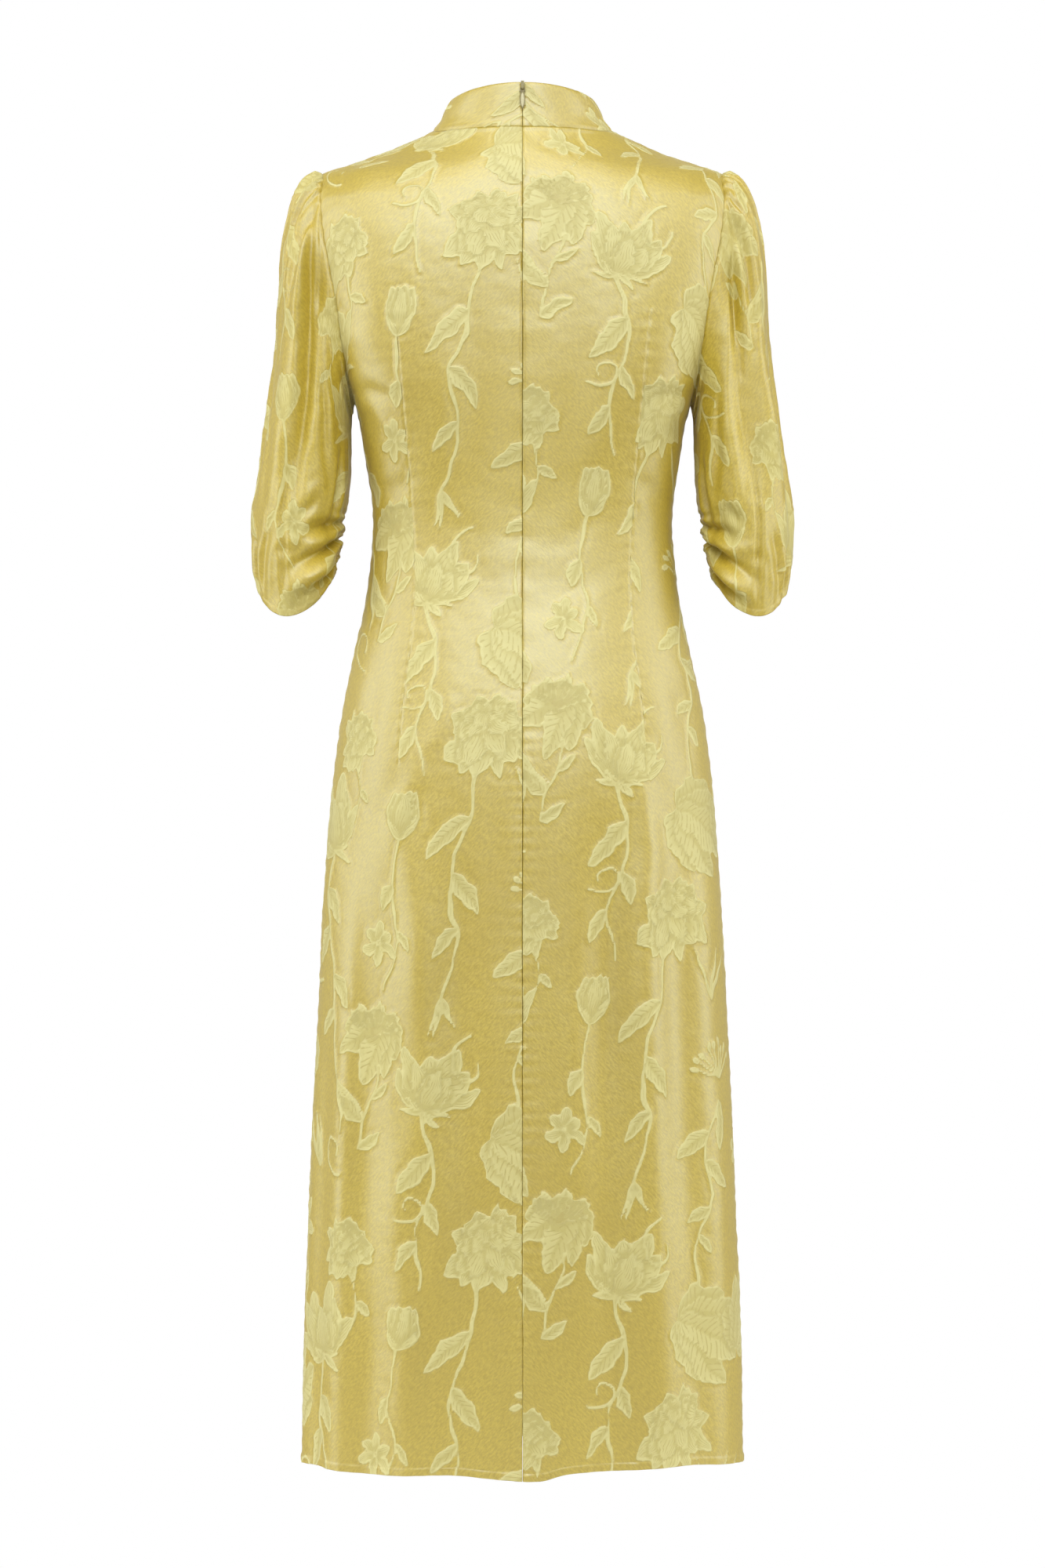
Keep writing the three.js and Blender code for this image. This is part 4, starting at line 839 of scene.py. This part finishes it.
def sleeve_piece(name, side, shift, material):
    rows = np.concatenate([np.linspace(*part)[:-1] for part in SLEEVE_ROWS] + [[SLEEVE_END]])
    behind = np.concatenate([np.linspace(0, 48, 66)[:-1], np.linspace(48, 180, 70)])
    rounds = np.concatenate([behind[:-1], -behind[:0:-1]])
    turned, station = np.meshgrid(rounds, rows)
    point = sleeve_surface(turned, station, 1 if side > 0 else -1)
    ahead, back = np.roll(point, -1, 1), np.roll(point, 1, 1)
    up = np.gradient(point, axis=0)
    normals = unit(np.cross(ahead - back, up))
    normals *= np.sign((normals * (point - point.mean(1, keepdims=True))).sum(-1).mean())
    outer = sleeve_ring(np.zeros(60), np.linspace(0, SLEEVE_END, 60))[0]
    run = np.concatenate([[0], np.cumsum(np.linalg.norm(np.diff(outer, axis=0), axis=-1))])
    past = np.maximum(outer[-1, 2] - point[..., 2], 0)
    v = -np.interp(-point[..., 2], -outer[:, 2], run) - past
    reach = (np.interp(-point[..., 2], -outer[:, 2], outer[:, 0]) - ARMPIT_X) / 2
    forward = point[..., 1] - np.interp(-point[..., 2], -outer[:, 2], outer[:, 1])
    around = np.arctan2(forward / ARMHOLE["back"], (point[..., 0] - ARMPIT_X - reach) / reach)
    crossed = (np.abs(turned) > 150) & (around * turned < 0)
    around = np.where(crossed, around + np.sign(turned) * 2 * math.pi, around)
    u = around * (reach + ARMHOLE["back"]) / 2
    grid = Grid(point, normals, {"u": u, "v": v})
    woven(grid, shift, side)
    down = arc(point, 0)
    from_end = down[-1] - down
    from_seam = np.abs(turn(turned, 180))
    height = seam_profile(down) * 0.8 - 0.7 * bell(from_seam, 1.6)
    height += 0.5 * (1 - ramp(from_end, 5, 7)) - 0.35 * bell(from_end - 5.6, 0.9)
    height += 0.8 * wavy(u, v * 0.6, 11 + side, 44) + 0.5 * wavy(u, v * 1.2, 15 + side, 19)
    height += 0.5 * np.sin(down * 2 * math.pi / 12) * bell(from_seam, 14) * ramp(station, 8, 11)
    grid.raise_by(height)
    first, body_out = grid.points[0], body_normal(*armhole_edge(rounds))
    grid.tucked([first - body_out * depth - [aside, 0, 0] for aside, depth in SLEEVE_ALLOWANCE])
    grid.points[..., 0] *= side
    grid.normals[..., 0] *= side
    grid.turned(0, True, TURN_HEM)
    return cloth_piece(name, grid, surface_faces(grid.points, loop=True), material, flip=side < 0)


def collar_piece(name, shift, material):
    """The collar stands double: up the outside, over a rounded rim and down the inside."""
    rises = np.concatenate([[0, 0.02, 0.05], np.linspace(0.09, 1, 26)])
    start = np.arcsin(lerp(CENTRE_BACK_GAP, 2.4, ramp(rises, 0.55, 0.8)) / 2 / collar_width(rises))
    t = spread(260, (1, 1))
    angles = lerp(start[:, None], 2 * math.pi - start[:, None], t[None, :])
    rise = np.broadcast_to(rises[:, None], angles.shape)

    def surface(angle, rise):
        behind, reach = np.cos(angle) >= 0, np.abs(np.cos(angle))
        depth = np.where(behind, collar_back(rise), collar_front(rise))
        middle = np.where(behind, COLLAR_TOP["back"], COLLAR_TOP["front"])
        top = lerp(COLLAR_TOP["side"], middle, reach ** 2)
        height = lerp(neck_height(behind, reach) + SEAM, top, rise)
        return np.stack([collar_width(rise) * np.sin(angle), depth * np.cos(angle), height], -1)

    points = surface(angles, rise)
    across = surface(angles + 0.01, rise) - surface(angles - 0.01, rise)
    up = surface(angles, rise + 0.01) - surface(angles, rise - 0.01)
    normals = unit(np.cross(up, across))
    u = arc(points, 1)
    u = u - u[:, [u.shape[1] // 2]]
    grid = Grid(points, normals, {"u": u, "v": arc(points, 0)})
    woven(grid, shift)
    up_run, run = arc(grid.points, 0), arc(grid.points, 1)
    from_slit = np.minimum(run, run[:, -1:] - run)
    height = seam_profile(up_run) * 0.3 + 0.3 * bell(up_run - 3.2, 1.3)
    height += -0.7 * bell(from_slit, 1.2) + 0.25 * wavy(u, grid.values["v"], 21, 22)
    height -= 0.8 * (1 - np.clip((up_run[-1] - up_run) / 2.2, 0, 1)) ** 2
    grid.raise_by(height)
    grid.turned(1, False, TURN_SLIT)
    grid.turned(1, True, TURN_SLIT)
    grid.turned(0, True, TURN_COLLAR)
    first, out = grid.points[0], grid.normals[0]
    grid.tucked([first - out * depth - [0, 0, drop] for drop, depth in COLLAR_ALLOWANCE])
    return cloth_piece(name, grid, surface_faces(grid.points), material, flip=True)


# Materials
class Nodes:
    """Short names for building the nodes of a material or of the world."""

    def __init__(self, owner, shader="Principled BSDF"):
        owner.use_nodes = True
        self.owner, self.tree = owner, owner.node_tree
        self.shader = self.tree.nodes[shader]

    def shade(self, socket, value):
        self.put(self.shader, socket, value)

    def fill(self, node, **values):
        for socket, value in values.items():
            self.put(node, socket, value)
        return node.outputs[0]

    def add(self, kind, **settings):
        node = self.tree.nodes.new(kind)
        for key, value in settings.items():
            setattr(node, key, value)
        return node

    def put(self, node, socket, value):
        if isinstance(value, bpy.types.NodeSocket):
            self.tree.links.new(value, node.inputs[socket])
        else:
            node.inputs[socket].default_value = value

    def math(self, operation, *values):
        node = self.add("ShaderNodeMath", operation=operation)
        for i, value in enumerate(values):
            self.put(node, i, value)
        return node.outputs[0]

    def times(self, a, b):
        return self.math("MULTIPLY", a, b)

    def weighed(self, *terms):
        """The sum of pairs of a value and its weight."""
        total = 0.0
        for value, weight in terms:
            total = self.math("MULTIPLY_ADD", value, weight, total)
        return total

    def range(self, value, low, high, to_low=0.0, to_high=1.0, kind="SMOOTHSTEP"):
        node = self.add("ShaderNodeMapRange", interpolation_type=kind)
        for socket, given in enumerate((value, low, high, to_low, to_high)):
            self.put(node, socket, given)
        return node.outputs[0]

    def mix(self, factor, a, b):
        node = self.add("ShaderNodeMix", data_type="RGBA")
        self.put(node, 0, factor)
        self.put(node, 6, a)
        self.put(node, 7, b)
        return node.outputs[2]

    def value(self, name):
        return self.add("ShaderNodeAttribute", attribute_name=name).outputs["Fac"]

    def stretched(self, scale, turned=0.0):
        """Cloth coordinates in metres, turned and then scaled."""
        node = self.add("ShaderNodeMapping", vector_type="TEXTURE")
        cloth = self.add("ShaderNodeUVMap", uv_map="cloth").outputs[0]
        return self.fill(node, Vector=cloth, Rotation=(0, 0, turned), Scale=(1 / scale[0], 1 / scale[1], 1))

    def noise(self, vector, scale, detail=2.0, rough=0.5):
        node = self.add("ShaderNodeTexNoise")
        return self.fill(node, Vector=vector, Scale=scale, Detail=detail, Roughness=rough)

    def position(self):
        return self.add("ShaderNodeTexCoord").outputs["Object"]

    def bump(self, height, distance, strength, after=None):
        node = self.add("ShaderNodeBump")
        if after is not None:
            self.put(node, "Normal", after)
        return self.fill(node, Height=height, Distance=distance, Strength=strength)


def srgb(r, g, b):
    return (*[((c / 255 + 0.055) / 1.055) ** 2.4 for c in (r, g, b)], 1.0)


def satin_material(name, gloss):
    """Satin is duller across its grain than along it."""
    n = Nodes(bpy.data.materials.new(name))
    figure, tone, vein = n.value("figure"), n.value("tone"), n.value("vein")
    inside = n.range(figure, -0.35, 0.35)
    grain = n.noise(n.stretched((620, 210), 0.75), 1.0, 3.0, 0.7)
    fine = n.noise(n.stretched((1500, 1500)), 1.0, 1.0)
    slub = n.noise(n.stretched((24, 260)), 1.0, 2.0)
    broad = n.noise(n.stretched((9, 6)), 1.0, 2.0)
    saw = n.math("ABSOLUTE", n.math("SUBTRACT", n.math("FRACT", vein), 0.5))
    broken = n.range(n.noise(n.stretched((160, 160)), 1.0, 1.0), 0.35, 0.55)
    lines = n.times(n.range(saw, 0.28, 0.46), n.range(figure, 0.8, 2.0))
    hatch = n.times(lines, broken)
    # rim is the raised band just inside each figure's edge: it raises the relief, and below it carries a
    # painted highlight.
    rim = n.times(n.range(figure, 2.4, 0.9), inside)
    ground = n.mix(n.range(grain, 0.3, 0.7), srgb(185, 157, 34), srgb(211, 185, 52))
    ground = n.mix(n.times(n.range(broad, 0.35, 0.7), 0.25), ground, srgb(183, 154, 31))
    # The figures' colour follows their tone, with its painted shade beside overlying figures and painted
    # highlight inside their edges.
    matte = n.mix(n.range(tone, 0.0, 1.0), srgb(196, 178, 82), srgb(213, 199, 116))
    matte = n.mix(n.times(hatch, 0.75), matte, srgb(187, 165, 64))
    # Painted highlight: the raised rim is mixed toward a paler colour.
    matte = n.mix(n.times(rim, 0.42), matte, srgb(224, 212, 134))
    n.shade("Base Color", n.mix(inside, ground, matte))
    rough = n.math("ADD", n.times(inside, 0.26), n.range(grain, 0.2, 0.8, 0.41, 0.5))
    n.shade("Roughness", rough)
    relief = n.weighed((inside, 0.35), (n.range(tone, 0.0, 1.0), 0.5), (rim, 0.4), (hatch, -0.35))
    weave = n.weighed((slub, 0.35), (fine, 0.25), (grain, 1.0))
    normal = n.bump(weave, distance=0.0004, strength=0.36)
    n.shade("Normal", n.bump(relief, distance=0.0007, strength=0.5, after=normal))
    n.shade("IOR", 1.8)
    n.shade("Specular IOR Level", gloss)
    n.shade("Specular Tint", (0.78, 0.96, 1.0, 1.0))
    n.shade("Sheen Weight", 0.1)
    n.shade("Sheen Roughness", 0.4)
    return n.owner


def tape_material():
    n = Nodes(bpy.data.materials.new("zip_tape_weave"))
    ribs = n.add("ShaderNodeTexWave", bands_direction="Z")
    n.fill(ribs, Vector=n.position(), Scale=260.0, Distortion=0.6)
    soft = n.noise(n.position(), 900.0)
    n.shade("Base Color", n.mix(soft, srgb(176, 158, 70), srgb(202, 184, 96)))
    n.shade("Roughness", n.range(soft, 0.2, 0.8, 0.7, 0.9))
    n.shade("Normal", n.bump(n.math("ADD", ribs.outputs[1], soft), 0.0002, 0.6))
    return n.owner


def enamel_material(name, colour, worn, rough):
    n = Nodes(bpy.data.materials.new(name))
    soft = n.noise(n.position(), 700.0, 3.0)
    n.shade("Base Color", n.mix(n.range(soft, 0.4, 0.7), colour, worn))
    n.shade("Roughness", n.range(soft, 0.2, 0.8, rough, rough + 0.12))
    n.shade("Normal", n.bump(soft, 0.00005, 0.3))
    return n.owner


def pull_inlay(material):
    """The pale raised middle of the pull's drop, in the pull's own pale colour; the darker pull round it is
    painted shade at its edge.
    """
    half = column(PULL_OUTLINE, 1)
    down = np.linspace(INLAY["top"], INLAY["low"], INLAY["rows"])
    share = np.sqrt(np.clip(1 - np.linspace(-1, 1, INLAY["rows"]) ** 4, 0.0005, 1))
    around = circle(INLAY["sides"])
    x = (half(down) * INLAY["share"] * share)[:, None] * np.cos(around)
    out = PULL_FACE + INLAY["raised"] * share[:, None] * np.sin(around)
    lean = math.radians(PULL_LEAN)
    y = out * math.cos(lean) - down[:, None] * math.sin(lean)
    z = out * math.sin(lean) + down[:, None] * math.cos(lean)
    points = np.stack([x, y, z], -1) + PULL_HINGE
    piece = make_piece("pull_inlay", points, surface_faces(points, loop=True), material)
    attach(piece, "pull")


def zip_coil(material):
    """The coil winds along the inner side of the tape."""
    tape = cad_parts["zip_tape"]
    places = np.array([tape.matrix_world @ vertex.co for vertex in tape.data.vertices]) / MM
    middle = places[np.abs(places[:, 0]) < COIL["half"]]
    levels = np.linspace(COIL["low"], COIL["top"], 160)
    depth = [middle[np.argsort(np.abs(middle[:, 2] - level))[:4], 1].min() for level in levels]
    depth = np.convolve(np.pad(depth, 4, "edge"), np.ones(9) / 9, "valid")
    turns = (levels[-1] - levels[0]) / COIL["pitch"]
    t = np.linspace(0, 1, int(turns * COIL["steps"]))
    z = levels[0] + t * (levels[-1] - levels[0])
    angle = t * turns * 2 * math.pi
    centre = np.interp(z, levels, depth) + COIL["in"]
    path = np.stack([COIL["half"] * np.cos(angle), centre + COIL["deep"] * np.sin(angle), z], -1)
    ahead = unit(np.gradient(path, axis=0))
    side = unit(np.cross(ahead, [0, 0, 1.0]))
    other = np.cross(ahead, side)
    ring = circle(COIL["sides"])[:, None]
    points = path[:, None] + COIL["thick"] * (side[:, None] * np.cos(ring) + other[:, None] * np.sin(ring))
    piece = make_piece("zip_coil", points, surface_faces(points, loop=True), material)
    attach(piece, "garment")


satin = satin_material("satin_jacquard", 1.0)
satin_across = satin_material("satin_jacquard_across", 0.75)
back_left = back_panel("back_left_cloth", False, (40, 130), satin)
back_right = back_panel("back_right_cloth", True, (212, 292), satin)
front = front_panel("front_cloth", (150, 40), satin)
sleeve_left = sleeve_piece("sleeve_left_cloth", 1, (96, 96), satin_across)
sleeve_right = sleeve_piece("sleeve_right_cloth", -1, (250, 210), satin_across)
collar = collar_piece("collar_cloth", (30, 210), satin)

for piece, node, flat, area in (
    (back_left, "back_left", (0.30, 1.24), 0.27), (back_right, "back_right", (0.30, 1.24), 0.27),
    (front, "front", (0.58, 1.23), 0.54), (sleeve_left, "sleeve_left", (0.40, 0.40), 0.10),
    (sleeve_right, "sleeve_right", (0.40, 0.40), 0.10), (collar, "collar", (0.42, 0.10), 0.034),
):
    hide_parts(node)

for node, material in (
    ("zip_tape", tape_material()),
    ("zip_slider", enamel_material("slider_enamel", srgb(150, 140, 88), srgb(118, 108, 62), 0.32)),
    # The pull is painted darker than its own pale colour: painted shade round the pale middle that pull_inlay
    # adds.
    ("zip_pull", enamel_material("pull_enamel_with_painted_shade", srgb(138, 126, 74), srgb(112, 100, 56), 0.36)),
):
    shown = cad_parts[node]
    shown.data.materials.clear()
    shown.data.materials.append(material)
pull_inlay(enamel_material("inlay_enamel", srgb(208, 201, 158), srgb(192, 184, 138), 0.3))
zip_coil(enamel_material("coil_plastic", srgb(198, 182, 104), srgb(178, 162, 86), 0.4))


# Floor, world, lights and camera
FLOOR = {"level": -1500, "radii": [1000, 880, 650, 350, 0.5], "sides": 96}
# The world's brightness by direction, from straight down at 0 to straight up at 1
WORLD_LEVELS = [(0.0, 0.14), (0.40, 0.22), (0.47, 0.48), (0.7, 0.48), (0.86, 0.2), (1.0, 0.12)]
CAMERA = {"sensor": 36, "distance": 3500, "height": -575.1, "seen": 1420}
# Place, aim, width and height in metres, power, spread in degrees
LIGHTS = {
    "key": ((0.2, 2.9, 1.75), (0, 0, -0.2), (4.2, 2.0), 92, 180),
    "fill": ((-0.6, 1.9, 0.25), (0, 0.1, -0.5), (2.6, 0.6), 1.35, 60),
    "overhead": ((0, 1.2, 2.3), (0, 0.1, 0), (5.0, 1.5), 47, 180),
    "over_neck": ((0, 0.1, 2.3), (0, 0.1, 0), (1.2, 1.4), 12, 180),
    "low": ((0, 2.6, -1.25), (0, 0.1, -0.19), (3.0, 0.5), 0.7, 26),
    "side_left": ((2.5, 0.35, 0.1), (0, 0.1, -0.3), (1.7, 3.2), 40, 180),
    "side_right": ((-2.6, 0.3, 0.1), (0, 0.1, -0.3), (1.7, 3.2), 38, 180),
    "far_side": ((0.4, -3.0, 1.2), (0, 0, -0.5), (2.8, 1.8), 84, 180),
}
GLOSS_ALONE = ("overhead", "over_neck", "low")


def make_floor():
    around, radii = circle(FLOOR["sides"]), np.array(FLOOR["radii"])[:, None]
    rings = np.stack([radii * np.cos(around), radii * np.sin(around), 0 * radii * around], -1)
    n = Nodes(bpy.data.materials.new("pale_floor"))
    soft = n.noise(n.position(), 30.0)
    n.shade("Base Color", n.mix(soft, (0.76, 0.76, 0.75, 1), (0.8, 0.8, 0.79, 1)))
    n.shade("Roughness", 0.7)
    n.shade("Emission Color", (1, 1, 1, 1))
    n.shade("Emission Strength", 0.15)
    floor = make_piece("floor", rings, surface_faces(rings, loop=True), n.owner)
    floor.location = (0, 0, FLOOR["level"] * MM)


def make_world():
    bpy.context.scene.world = bpy.data.worlds.new("studio")
    n = Nodes(bpy.context.scene.world, "Background")
    split = n.add("ShaderNodeSeparateXYZ")
    n.put(split, 0, n.add("ShaderNodeTexCoord").outputs["Generated"])
    shade = n.add("ShaderNodeValToRGB")
    while len(shade.color_ramp.elements) < len(WORLD_LEVELS):
        shade.color_ramp.elements.new(0.5)
    for element, (at, level) in zip(shade.color_ramp.elements, WORLD_LEVELS):
        element.position = at
        element.color = (level, level, level * 0.98, 1)
    n.put(shade, 0, n.math("MULTIPLY_ADD", split.outputs[2], 0.5, 0.5))
    seen = n.add("ShaderNodeLightPath")
    n.shade(0, n.mix(seen.outputs["Is Camera Ray"], shade.outputs[0], (1, 1, 1, 1)))
    # The room reflects less than it lights, least of all on the camera's side of the dress.
    reflected = n.range(split.outputs[1], 0.2, -0.5, 0.5, 0.85, "LINEAR")
    strength = n.add("ShaderNodeMix")
    for socket, given in ((0, seen.outputs["Is Glossy Ray"]), (2, 1.0), (3, reflected)):
        n.put(strength, socket, given)
    n.shade(1, strength.outputs[0])


def area_light(name, place, aim, size, power, spread_angle):
    data = bpy.data.lights.new(name, "AREA")
    data.shape = "RECTANGLE"
    data.size, data.size_y = size
    data.energy = power
    data.spread = math.radians(spread_angle)
    light = linked(name, data)
    light.location = place
    light.rotation_euler = (Vector(aim) - Vector(place)).to_track_quat("-Z", "Y").to_euler()
    light.visible_diffuse = name not in GLOSS_ALONE
    # The far light would draw pale glossy edges round the back.
    light.visible_glossy = name != "far_side"


make_floor()
make_world()
for name, settings in LIGHTS.items():
    area_light(name, *settings)

camera_data = bpy.data.cameras.new("camera")
camera_data.sensor_width = CAMERA["sensor"]
camera_data.lens = CAMERA["sensor"] * CAMERA["distance"] / CAMERA["seen"]
camera_data.clip_end = 50
camera = linked("camera", camera_data)
camera.location = (0, CAMERA["distance"] * MM, CAMERA["height"] * MM)
camera.rotation_euler = (math.pi / 2, 0, math.pi)
bpy.context.scene.camera = camera
bpy.context.scene.view_settings.view_transform = "Standard"
